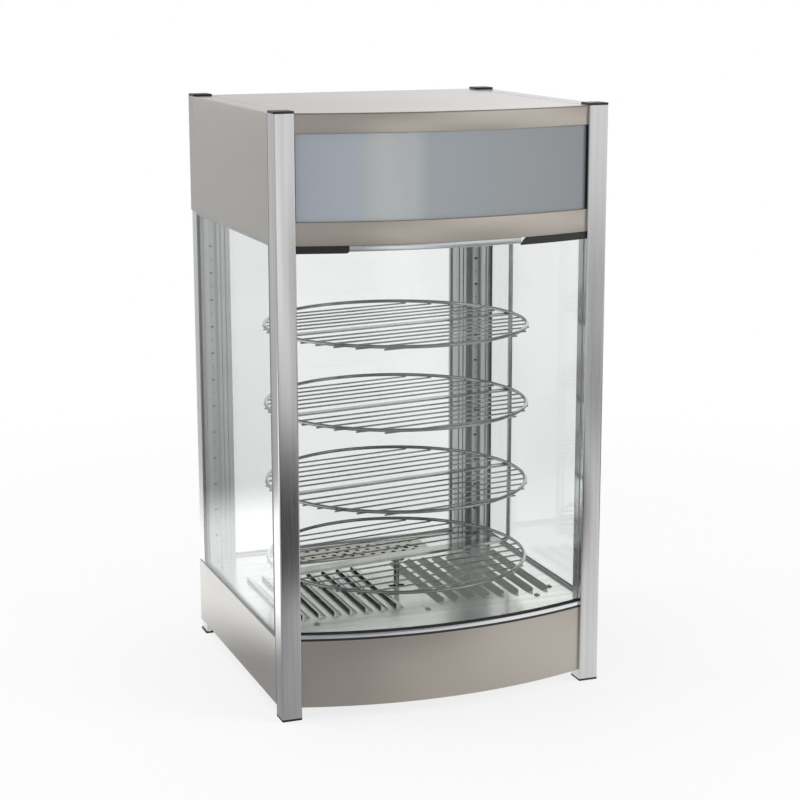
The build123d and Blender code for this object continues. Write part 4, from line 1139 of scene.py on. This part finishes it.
def stile_form(side):
    return Form().prism([(side * x, y) for x, y in door_section(DOOR_X, DOOR_IN_X)], DOOR_LOW, DOOR_HIGH)


def door_rails_form():
    form = Form()
    x1 = DOOR_IN_X - FIT
    for outer, inner in ((DOOR_LOW, DOOR_RAIL_LOW), (DOOR_HIGH, DOOR_RAIL_HIGH)):
        form.along_x([(y, z) for z, y in door_section(outer, inner)], -x1, x1)
    return form


def door_pane_form():
    reach = DOOR_SLOT_D - GASKET_W
    x1 = DOOR_IN_X + reach
    return Form().box(-x1, x1, DOOR_MID - GLASS / 2, DOOR_MID + GLASS / 2, DOOR_RAIL_LOW - reach,
                      DOOR_RAIL_HIGH + reach)


def door_gasket_form():
    """Rubber lips each side of the pane, round its frame."""
    reach = DOOR_SLOT_D - FIT
    x1 = DOOR_IN_X + reach
    wide = DOOR_LIP + DOOR_SLOT_D
    short = wide - DOOR_LIP_CUT
    half = DOOR_SLOT_W / 2 - FIT
    lip = [(half, 0), (half, short), (half - DOOR_LIP_CUT, wide), (GLASS / 2, short), (GLASS / 2, GASKET_W)]
    profile = [(-x, inward) for x, inward in lip] + lip[::-1]
    rings = frame_loop(profile, -x1, x1, DOOR_RAIL_LOW - reach, DOOR_RAIL_HIGH + reach)
    return Form().loft([[(y, DOOR_MID + x, z) for x, y, z in ring] for ring in rings], wrap=True)


def pull_form():
    """Hooked finger pull, bent from one strip, with its two screws."""
    lo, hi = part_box("door_pull")
    front = lo.y + PULL_T
    back = hi.y - PULL_T
    section = [(lo.x, lo.y), (hi.x, lo.y), (hi.x, front), (lo.x + PULL_T, front), (lo.x + PULL_T, back),
               (lo.x + PULL_LIP, back), (lo.x + PULL_LIP, hi.y), (lo.x, hi.y)]
    form = Form().prism(rounded(section, PULL_RADII, 4), lo.z, hi.z)
    spots = [(hi.x - PULL_SCREW_X, front, z) for z in (lo.z + PULL_SCREW_Z, hi.z - PULL_SCREW_Z)]
    return add_screws(form, spots, radius=SMALL_SCREW_R)


def build_door():
    """Stiles, rails, pane, gasket and pull."""
    show("door_hinge_stile", stile_form(1), SATIN, body="door")
    show("door_free_stile", stile_form(-1), SATIN, body="door")
    show("door_rails", door_rails_form(), ALUMINIUM_ACROSS, body="door")
    edge_slots(show("door_glass", door_pane_form(), CLEAR, PANE_EDGE, body="door", bevel=0), 0)
    show("door_gasket", door_gasket_form(), GREY_SEAL, body="door", bevel=0)
    show("door_pull", pull_form(), ALUMINIUM, slot="brushed_aluminium", body="door", bevel=0)


build_door()


# Shelf standards and the strips beside the door

STANDARD_W = 0.01
STANDARD_PITCH = 0.04
STANDARD_SLOT = (0.0025, 0.0015)
STANDARD_SLOT_R = 0.0006
STANDARD_HOLE_R = 0.001
# Thickness of the black sheet behind the shelf standards, which paints the shade seen through their slots
SHADE = 0.0003
SEAL_GAP = 0.0004
SEAL_SETBACK_Y = 0.0005
SEAL_T = 0.002


def standards_form():
    """Slotted strips with a small hole between slots, with a thin black sheet behind them as painted shade in
    the slots.
    """
    lo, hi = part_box("shelf_standards")
    mid = hi.x - STANDARD_W / 2
    holes = []
    for i in range(1, int((hi.z - lo.z) / STANDARD_PITCH)):
        z = lo.z + STANDARD_PITCH * i
        holes.append(rounded(block(mid, z, *STANDARD_SLOT), STANDARD_SLOT_R, 3))
        holes.append(circle(STANDARD_HOLE_R, 12, (mid, z - STANDARD_PITCH / 2)))
    back = hi.y - SHADE
    x0 = hi.x - STANDARD_W
    form = Form().upright(rect(x0, hi.x, lo.z, hi.z), holes, lo.y, back)
    return form.box(x0, hi.x, back, hi.y, lo.z, hi.z, 1).mirrored()


def door_seals_form():
    """Brush strips on the rear posts that close the gap beside the door."""
    y0 = DOOR_FRONT + SEAL_SETBACK_Y
    return Form().box(DOOR_X + SEAL_GAP, INNER_X, y0, y0 + SEAL_T, DOOR_LOW, DOOR_HIGH).mirrored()


show("shelf_standards", standards_form(), ZINC, BLACK, slot="zinc_steel", bevel=0)
piece("door_side_seals", door_seals_form(), [GREY_SEAL], "black_rubber", bevel=0)


# Ceiling, header's back and what hangs the door

CEILING_GAP = 0.0001
CEILING_SCREWS = [(x, y) for x in (-0.15, 0.15) for y in (-0.14, 0.12)]
BUSH_HOLE_GAP = 0.001
BUSH_RUN_GAP = 0.00005
HEADER_SCREW_Z = 0.012
PIVOT = (0.194, 0.216)
PIVOT_R = 0.003
PIVOT_REACH = 0.008
BRACKET_T = 0.003
BRACKET_RADII = [0.003, 0.0005, 0.004, 0.003]
MAGNET_FACE = 0.0004
MAGNET_R = 0.0012
MAGNET_END = 0.003
MAGNET_BARS = (0.0035, -0.0055)
MAGNET_BAR = 0.002
STRIKE_R = 0.001
STRIKE_HOLE_R = 0.0016
STRIKE_HOLE_X = 0.006


def ceiling_form():
    """Bowed sheet over the display space, turned up behind, with the bush's hole."""
    lo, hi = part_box("ceiling_panel")
    outline = sheet_plan(CHANNEL - SHEET + CEILING_GAP, hi.x, hi.y - BEND)
    hole = circle(SHAFT_R + BUSH_HOLE_GAP, 32, (0, RACK_Y))
    lip = rounded(rect(hi.y - SHEET, hi.y, lo.z, hi.z), [0, BEND, EDGE, EDGE], 4)
    form = Form().plate(outline, [hole], lo.z, lo.z + SHEET).along_x(lip, -PANEL_X, PANEL_X)
    return add_screws(form, [(x, y, lo.z) for x, y in CEILING_SCREWS], DOWN, SMALL_SCREW_R)


def bushing_form():
    """Hexagonal bush with a bored middle."""
    lo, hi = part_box("ceiling_bushing")
    bore = circle(SHAFT_R + BUSH_RUN_GAP, 32, (0, RACK_Y))
    return Form().plate(circle(hi.x - FIT, 6, (0, RACK_Y)), [bore], lo.z, hi.z)


def header_back_form():
    """Folded sheet over the door with its screws."""
    lo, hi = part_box("rear_header_panel")
    form = Form().along_x(channel(lo.y, hi.y, hi.y - FLANGE, lo.z, hi.z), lo.x, hi.x)
    return add_rear_screws(form, lo, hi, HEADER_SCREW_Z)


def brackets_form():
    """Plates under and over the door with rounded corners and its pins."""
    form = Form()
    lo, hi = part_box("door_pivot_brackets")
    outline = rounded(rect(lo.x, hi.x, lo.y, hi.y), BRACKET_RADII)
    form.prism(outline, lo.z, lo.z + BRACKET_T)
    form.stub((*PIVOT, lo.z), UP, PIVOT_R, DOOR_LOW + PIVOT_REACH - lo.z)
    form.prism(outline, hi.z - BRACKET_T, hi.z)
    return form.stub((*PIVOT, hi.z), DOWN, PIVOT_R, hi.z - DOOR_HIGH + PIVOT_REACH)


def magnet_form():
    """Magnet's case with two steel bars in its face."""
    lo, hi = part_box("door_magnet")
    form = Form().along_y(rounded(rect(lo.x, hi.x, lo.z, hi.z), MAGNET_R, 4), lo.y, hi.y - MAGNET_FACE)
    for z in (lo.z + MAGNET_BARS[0], hi.z + MAGNET_BARS[1]):
        form.box(lo.x + MAGNET_END, hi.x - MAGNET_END, hi.y - MAGNET_BAR, hi.y, z, z + MAGNET_BAR, 1)
    return form


def strike_form():
    """Plate on the door that the magnet holds, with its two holes."""
    lo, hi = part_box("door_strike")
    mid = (lo.z + hi.z) / 2
    holes = [circle(STRIKE_HOLE_R, 20, (x, mid)) for x in (lo.x + STRIKE_HOLE_X, hi.x - STRIKE_HOLE_X)]
    return Form().upright(rounded(rect(lo.x, hi.x, lo.z, hi.z), STRIKE_R, 4), holes, lo.y, hi.y)


show("ceiling_panel", ceiling_form(), STAINLESS, bevel=0)
show("ceiling_bushing", bushing_form(), BRASS, bevel=0.0006)
show("rear_header_panel", header_back_form(), FRONT_PAINT, bevel=0)
show("door_pivot_brackets", brackets_form(), ZINC)
show("door_magnet", magnet_form(), BLACK, ZINC, bevel=0.0002)
show("door_strike", strike_form(), ZINC, body="door", bevel=0.0001)


# Controls on the rear panel

KNOB_X = -0.11
SWITCH_XS = (-0.045, -0.005)
GLAND_X = 0.15
CONTROL_Z = 0.052
PANEL_SCREW_Z = 0.01
SPINDLE_HOLE_R = 0.004
GLAND_HOLE_R = 0.0071
MARK_RADII = (0.0195, 0.023)
MARK_HALF_W = 0.0004
MARK_STEP = math.radians(30)
MARKS = 10
OFF_MARK_R = 0.0013
OFF_MARK_UP = 0.0215
PRINT_T = 0.0001
KNOB_H = 0.016
KNOB_FLUTES = 24
KNOB_FLUTE_D = 0.0005
KNOB_RIMS = ((1.0, 0.0, 0.0048), (0.93, 0.0048, 0.0064))
KNOB_SHAFT_R = 0.003
GRIP_HALF_W = 0.005
GRIP_FOOT = 0.006
GRIP_MARGIN = 0.003
GRIP_R = 0.0035
POINTER_HALF_W = 0.0006
POINTER_T = 0.001
SWITCH_HALF_W = 0.0075
SWITCH_HALF_H = 0.012
SWITCH_LIP = 0.002
SWITCH_R = 0.0012
SWITCH_BODY_INSET = 0.001
SWITCH_HOLE_INSET = 0.0009
ROCKER_R = 0.008
ROCKER_HALF_W = 0.0045
ROCKER_TILT = math.radians(9.0)
ROCKER_RISE = 0.002
ROCKER_V = 0.0016
STROKE_SHARE = 0.55
STROKE_HALF_W = 0.0003
STROKE_HALF_H = 0.0012
RUN_GAP = 0.0003
GLAND_BORE_R = 0.0042
GLAND_FACE = 0.005
GLAND_HEX_T = 0.0034
GLAND_COLLAR = ((0.0088, 0.0034), (0.0084, 0.0044), (0.0074, 0.005), (0.005, 0.005), (GLAND_BORE_R, 0.0044))
THREAD_R = 0.007
THREAD_ROOT_R = 0.0065
THREAD_PITCH = 0.0015
THREADS = 6


def control_panel_form():
    """Folded sheet with the controls' holes, screws and printed scale."""
    lo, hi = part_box("rear_control_panel")
    holes = [circle(SPINDLE_HOLE_R, 24, (KNOB_X, CONTROL_Z)), circle(GLAND_HOLE_R, 32, (GLAND_X, CONTROL_Z))]
    half_w = SWITCH_HALF_W - SWITCH_HOLE_INSET
    half_h = SWITCH_HALF_H - SWITCH_HOLE_INSET
    holes += [block(x, CONTROL_Z, half_w, half_h) for x in SWITCH_XS]
    back = hi.y - SHEET
    form = Form().upright(rect(lo.x, hi.x, lo.z + BEND, hi.z - BEND), holes, back, hi.y)
    head = [(lo.y, hi.z - SHEET), (back, hi.z - SHEET), (back, hi.z - BEND), (hi.y, hi.z - BEND),
            (hi.y, hi.z), (lo.y, hi.z)]
    form.along_x(rounded(head, [0, 0, 0, 0, BEND, 0], 4), lo.x, hi.x)
    foot = [(hi.y - FLANGE, lo.z), (hi.y, lo.z), (hi.y, lo.z + BEND), (back, lo.z + BEND),
            (back, lo.z + SHEET), (hi.y - FLANGE, lo.z + SHEET)]
    form.along_x(rounded(foot, [0, BEND, 0, 0, 0, 0], 4), lo.x, hi.x)
    add_rear_screws(form, lo, hi, PANEL_SCREW_Z)
    return scale_marks(form, hi.y)


def scale_marks(form, y):
    """Plain strokes round the knob, one for each 30 degrees of its turn, and a round off mark."""
    near, far = MARK_RADII
    for k in range(1, MARKS + 1):
        t = math.pi / 2 + MARK_STEP * k
        out = Vector((math.cos(t), math.sin(t)))
        side = Vector((-out.y, out.x)) * MARK_HALF_W
        spots = [out * near - side, out * far - side, out * far + side, out * near + side]
        form.along_y([(KNOB_X + p.x, CONTROL_Z + p.y) for p in spots], y, y + PRINT_T, 1)
    return form.along_y(circle(OFF_MARK_R, 20, (KNOB_X, CONTROL_Z + OFF_MARK_UP)), y, y + PRINT_T, 1)


def knob_form():
    """Fluted disc with a rounded grip across it, a pointer line and a shaft."""
    form = Form()
    lo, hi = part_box("thermostat_knob")
    y0 = hi.y - KNOB_H
    radius = hi.x - KNOB_X
    steps = KNOB_FLUTES * 6
    for share, near, far in KNOB_RIMS:
        outline = []
        for t in [2 * math.pi * k / steps for k in range(steps)]:
            r = radius * share - KNOB_FLUTE_D * (1 - math.cos(t * KNOB_FLUTES)) / 2
            outline.append((KNOB_X + r * math.cos(t), CONTROL_Z + r * math.sin(t)))
        form.along_y(outline, y0 + near, y0 + far)
    tall = radius - GRIP_MARGIN
    form.along_y(rounded(block(KNOB_X, CONTROL_Z, GRIP_HALF_W, tall), GRIP_R, 6), y0 + GRIP_FOOT, hi.y)
    form.box(KNOB_X - POINTER_HALF_W, KNOB_X + POINTER_HALF_W, hi.y - POINTER_T, hi.y - PRINT_T / 2,
             CONTROL_Z + GRIP_MARGIN, CONTROL_Z + tall - POINTER_T, 1)
    return form.stub((KNOB_X, y0, CONTROL_Z), (0, -1, 0), KNOB_SHAFT_R, y0 - lo.y)


def switches_form():
    """Two bezels with a rounded lip round the rocker's well, on their bodies."""
    form = Form()
    lo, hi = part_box("switch_housings")
    back = hi.y - SWITCH_LIP
    floor_y = back - ROCKER_R - 2 * RUN_GAP
    inset = SWITCH_BODY_INSET
    for x in SWITCH_XS:
        well = block(x, CONTROL_Z, ROCKER_HALF_W + RUN_GAP, ROCKER_R + RUN_GAP)
        lip = rounded(block(x, CONTROL_Z, SWITCH_HALF_W, SWITCH_HALF_H), SWITCH_R)
        body = block(x, CONTROL_Z, SWITCH_HALF_W - inset, SWITCH_HALF_H - inset)
        form.upright(lip, [well], back, hi.y)
        form.upright(body, [well], floor_y, back)
        form.along_y(body, lo.y, floor_y)
    return form


def rocker_form(x):
    """Rocker with two faces meeting in a shallow V, tilted to its off position, and a printed stroke."""
    hinge_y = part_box("switch_housings")[1].y - SWITCH_LIP
    top = ROCKER_R * math.sin(ROCKER_TILT) + ROCKER_RISE
    rim = top + ROCKER_V
    reach = math.sqrt(ROCKER_R ** 2 - rim ** 2)
    start = math.atan2(rim, reach)
    turns = [start - (2 * start + math.pi) * k / 24 for k in range(25)]
    section = [(0.0, top)] + [(ROCKER_R * math.cos(t), ROCKER_R * math.sin(t)) for t in turns]
    ends = (x - ROCKER_HALF_W, x + ROCKER_HALF_W)
    form = Form().loft([[(end, hinge_y + out, CONTROL_Z + up) for up, out in section] for end in ends])
    z = CONTROL_Z + reach * STROKE_SHARE
    y = hinge_y + top + ROCKER_V * STROKE_SHARE
    form.box(x - STROKE_HALF_W, x + STROKE_HALF_W, y - 4 * PRINT_T, y + 2 * PRINT_T, z - STROKE_HALF_H,
             z + STROKE_HALF_H, 1)
    spot = Vector((x, hinge_y, CONTROL_Z))
    tilt = Matrix.Rotation(-ROCKER_TILT, 4, "X")
    return form.turned(Matrix.Translation(spot) @ tilt @ Matrix.Translation(-spot))


def gland_form():
    """Hexagonal flange, domed collar and threaded tail round the lead's bore."""
    lo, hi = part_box("cord_gland")
    middle = (GLAND_X, CONTROL_Z)
    face = hi.y - GLAND_FACE
    form = Form().upright(circle(hi.x - GLAND_X, 6, middle), [circle(GLAND_BORE_R, 32, middle)], face,
                          face + GLAND_HEX_T)
    collar = [(GLAND_BORE_R, GLAND_HEX_T), *GLAND_COLLAR]
    tail = [(GLAND_BORE_R, 0.0)]
    for k in range(THREADS):
        tail += [(THREAD_R, -THREAD_PITCH * k), (THREAD_ROOT_R, -THREAD_PITCH * (k + 0.5))]
    tail += [(THREAD_R, lo.y - face), (GLAND_BORE_R, lo.y - face)]
    for section in (collar, tail):
        form.turn(section, (GLAND_X, face, CONTROL_Z), BACK)
    return form


show("rear_control_panel", control_panel_form(), FRONT_PAINT, PRINT, bevel=0)
show("thermostat_knob", knob_form(), BLACK, PRINT, body="thermostat_knob", bevel=0.0004)
show("switch_housings", switches_form(), BLACK, bevel=0.0002)
for rocker, rocker_x in zip(("power_rocker", "light_rocker"), SWITCH_XS):
    show(rocker, rocker_form(rocker_x), BLACK, PRINT, body=rocker, bevel=0.0003)
show("cord_gland", gland_form(), BLACK, bevel=0.0003)


# Studio: world, floor and lamps, with grey ramps as pairs of a place from 0 to 1 and a level

WORLD_FILL = 0.38
FILL_TINT = (0.97, 0.985, 1.0)
TOWARDS_CAMERA = (-0.35, -0.94, 0.0)
WORLD_SKY = ((0.0, 0.95), (0.36, 1.05), (0.45, 0.34), (0.8, 0.26), (1.0, 0.32))
WORLD_ACROSS = ((0.0, 0.95), (0.36, 0.9), (0.53, 0.66), (0.63, 0.84), (0.74, 1.25), (0.86, 1.1), (0.96, 0.2),
                (1.0, 0.15))
WORLD_FRONT = ((0.0, 1.0), (0.6, 1.0), (0.85, 0.9), (1.0, 0.62))
FLOOR_REACH = 60.0
FLOOR_RANGE = 6.0
FLOOR_GREY = 0.88
FLOOR_WHITE = ((0.0, 0.76), (0.1, 0.8), (0.3, 1.0), (1.0, 1.0))
FLOOR_ACROSS = ((0.0, 0.62), (0.35, 0.5), (0.42, 0.62), (0.5, 0.92), (0.66, 1.25), (0.85, 1.25), (1.0, 0.95))
DIM_SPOTS = (
    ((0.08, -1.27, 0.0), ((0.0, 0.05), (0.07, 0.08), (0.112, 0.66), (0.18, 0.72), (0.4, 0.9), (1.0, 1.0))),
    ((2.6, 1.1, 0.0), ((0.0, 0.1), (0.22, 0.16), (0.36, 1.0), (1.0, 1.0))),
    ((2.0, -3.8, 0.0), ((0.0, 0.48), (0.15, 0.54), (0.233, 1.0), (1.0, 1.0))),
    ((1.2, -2.1, 0.0), ((0.0, 0.46), (0.07, 0.52), (0.12, 1.0), (1.0, 1.0))),
    ((1.8, -0.5, 0.0), ((0.0, 0.2), (0.13, 0.25), (0.19, 1.0), (1.0, 1.0))),
)
BRIGHT_SPOTS = (
    ((-0.5, 0.5, 0.0), ((0.0, 1.3), (0.035, 1.2), (0.09, 0.0), (1.0, 0.0))),
    ((-1.8, 0.3, 0.0), ((0.0, 1.6), (0.1, 1.5), (0.16, 0.0), (1.0, 0.0))),
)


def ray_share(tree, *kinds):
    """1 for rays of the named kinds."""
    path = add(tree, "ShaderNodeLightPath", {})
    share = path.outputs[kinds[0]]
    for kind in kinds[1:]:
        share = calc(tree, "MAXIMUM", share, path.outputs[kind])
    return share


def around(tree, spot, middle, stops):
    """Grey levels by distance from a middle, out to FLOOR_RANGE."""
    away = add(tree, "ShaderNodeVectorMath", {0: spot, 1: middle}, operation="DISTANCE").outputs["Value"]
    return ramp(tree, calc(tree, "DIVIDE", away, FLOOR_RANGE), stops)


def across(tree, vector, axis, stops):
    """Grey levels along an axis, from -1 to 1."""
    return ramp(tree, calc(tree, "MULTIPLY_ADD", along(tree, vector, axis), 0.5, 0.5), stops)


def glow(tree, kind, strength, colour=(1, 1, 1)):
    """A background or emission shader of one colour."""
    return add(tree, kind, {"Color": (*colour, 1), "Strength": strength}).outputs[0]


def build_world():
    """White where it is seen; metal sees a pale backdrop below a dim ceiling."""
    world = bpy.data.worlds.new("studio")
    bpy.context.scene.world = world
    world.use_nodes = True
    tree = world.node_tree
    tree.nodes.clear()
    towards = add(tree, "ShaderNodeTexCoord", {}).outputs["Generated"]
    level = calc(tree, "MULTIPLY", ramp(tree, along(tree, towards, UP), WORLD_SKY),
                 across(tree, towards, SIDEWAYS, WORLD_ACROSS))
    level = calc(tree, "MULTIPLY", level, across(tree, towards, TOWARDS_CAMERA, WORLD_FRONT))
    fill_light, mirror, white = [glow(tree, "ShaderNodeBackground", strength, tint) for strength, tint
                                 in ((WORLD_FILL, FILL_TINT), (level, (1, 1, 1)), (1.0, (1, 1, 1)))]
    lit = mixed(tree, ray_share(tree, "Is Glossy Ray"), fill_light, mirror)
    shown = mixed(tree, ray_share(tree, "Is Camera Ray", "Is Transmission Ray"), lit, white)
    add(tree, "ShaderNodeOutputWorld", {0: shown})


def build_floor():
    """Pale floor that keeps a soft shadow near the object and runs out into white."""
    mesh = bpy.data.meshes.new("studio_floor")
    corners = rect(-FLOOR_REACH, FLOOR_REACH, -FLOOR_REACH, FLOOR_REACH)
    mesh.from_pydata([(x, y, 0) for x, y in corners], [], [(0, 1, 2, 3)])
    floor = bpy.data.objects.new("studio_floor", mesh)
    bpy.context.scene.collection.objects.link(floor)
    material, tree, shader = new_material("studio_floor")
    grey = (FLOOR_GREY, FLOOR_GREY, FLOOR_GREY, 1)
    fill(tree, shader, {"Base Color": grey, "Roughness": 0.9, "Specular IOR Level": 0.0})
    spot = add(tree, "ShaderNodeNewGeometry", {}).outputs["Position"]
    level = across(tree, spot, SIDEWAYS, FLOOR_ACROSS)
    for middle, stops in DIM_SPOTS:
        level = calc(tree, "MULTIPLY", level, around(tree, spot, middle, stops))
    for middle, stops in BRIGHT_SPOTS:
        level = calc(tree, "ADD", level, around(tree, spot, middle, stops))
    white = glow(tree, "ShaderNodeEmission", 1.0)
    seen = mixed(tree, around(tree, spot, (0, 0, 0), FLOOR_WHITE), shader.outputs[0], white)
    lit = mixed(tree, ray_share(tree, "Is Camera Ray", "Is Transmission Ray"), shader.outputs[0], seen)
    shown = mixed(tree, ray_share(tree, "Is Glossy Ray"), lit, glow(tree, "ShaderNodeEmission", level))
    fill(tree, tree.nodes["Material Output"], {"Surface": shown})
    mesh.materials.append(material)


def softbox(name, spot, aim_z, size, power):
    """Area lamp that lights the object without its shape showing in metal."""
    lamp = bpy.data.lights.new(name, "AREA")
    lamp.shape = "RECTANGLE"
    lamp.size, lamp.size_y = size
    lamp.energy = power
    thing = bpy.data.objects.new(name, lamp)
    bpy.context.scene.collection.objects.link(thing)
    thing.location = spot
    thing.rotation_euler = (Vector((0, 0, aim_z)) - Vector(spot)).to_track_quat("-Z", "Y").to_euler()
    thing.visible_glossy = False


# Camera

CAMERA_SPOT = (-0.9588, -2.5741, 0.9819)
CAMERA_YAW = math.radians(20.699)
CAMERA_PITCH = math.radians(12.313)
CAMERA_ROLL = math.radians(0.116)
FOCAL_PX = 1954.4
IMAGE_PX = 800.0
SENSOR = 36.0


def build_camera():
    """Camera at the photo's angle, from a fit to the posts, the bow and the rings."""
    data = bpy.data.cameras.new("camera")
    data.sensor_width = SENSOR
    data.lens = SENSOR * FOCAL_PX / IMAGE_PX
    data.clip_end = 2 * FLOOR_REACH
    camera = bpy.data.objects.new("camera", data)
    bpy.context.scene.collection.objects.link(camera)
    level = Matrix.Rotation(-CAMERA_YAW, 4, "Z") @ Matrix.Rotation(math.pi / 2 - CAMERA_PITCH, 4, "X")
    camera.matrix_world = Matrix.Translation(CAMERA_SPOT) @ level @ Matrix.Rotation(-CAMERA_ROLL, 4, "Z")
    bpy.context.scene.camera = camera


build_world()
build_floor()
softbox("key", (2.1, -1.7, 1.1), 0.3, (1.4, 1.8), 46.0)
softbox("left", (-2.3, 0.7, 1.4), 0.4, (1.4, 1.6), 27.0)
softbox("top", (-0.2, 0.3, 2.6), 0.4, (2.0, 2.0), 28.0)
build_camera()
bpy.context.scene.view_settings.view_transform = "Standard"
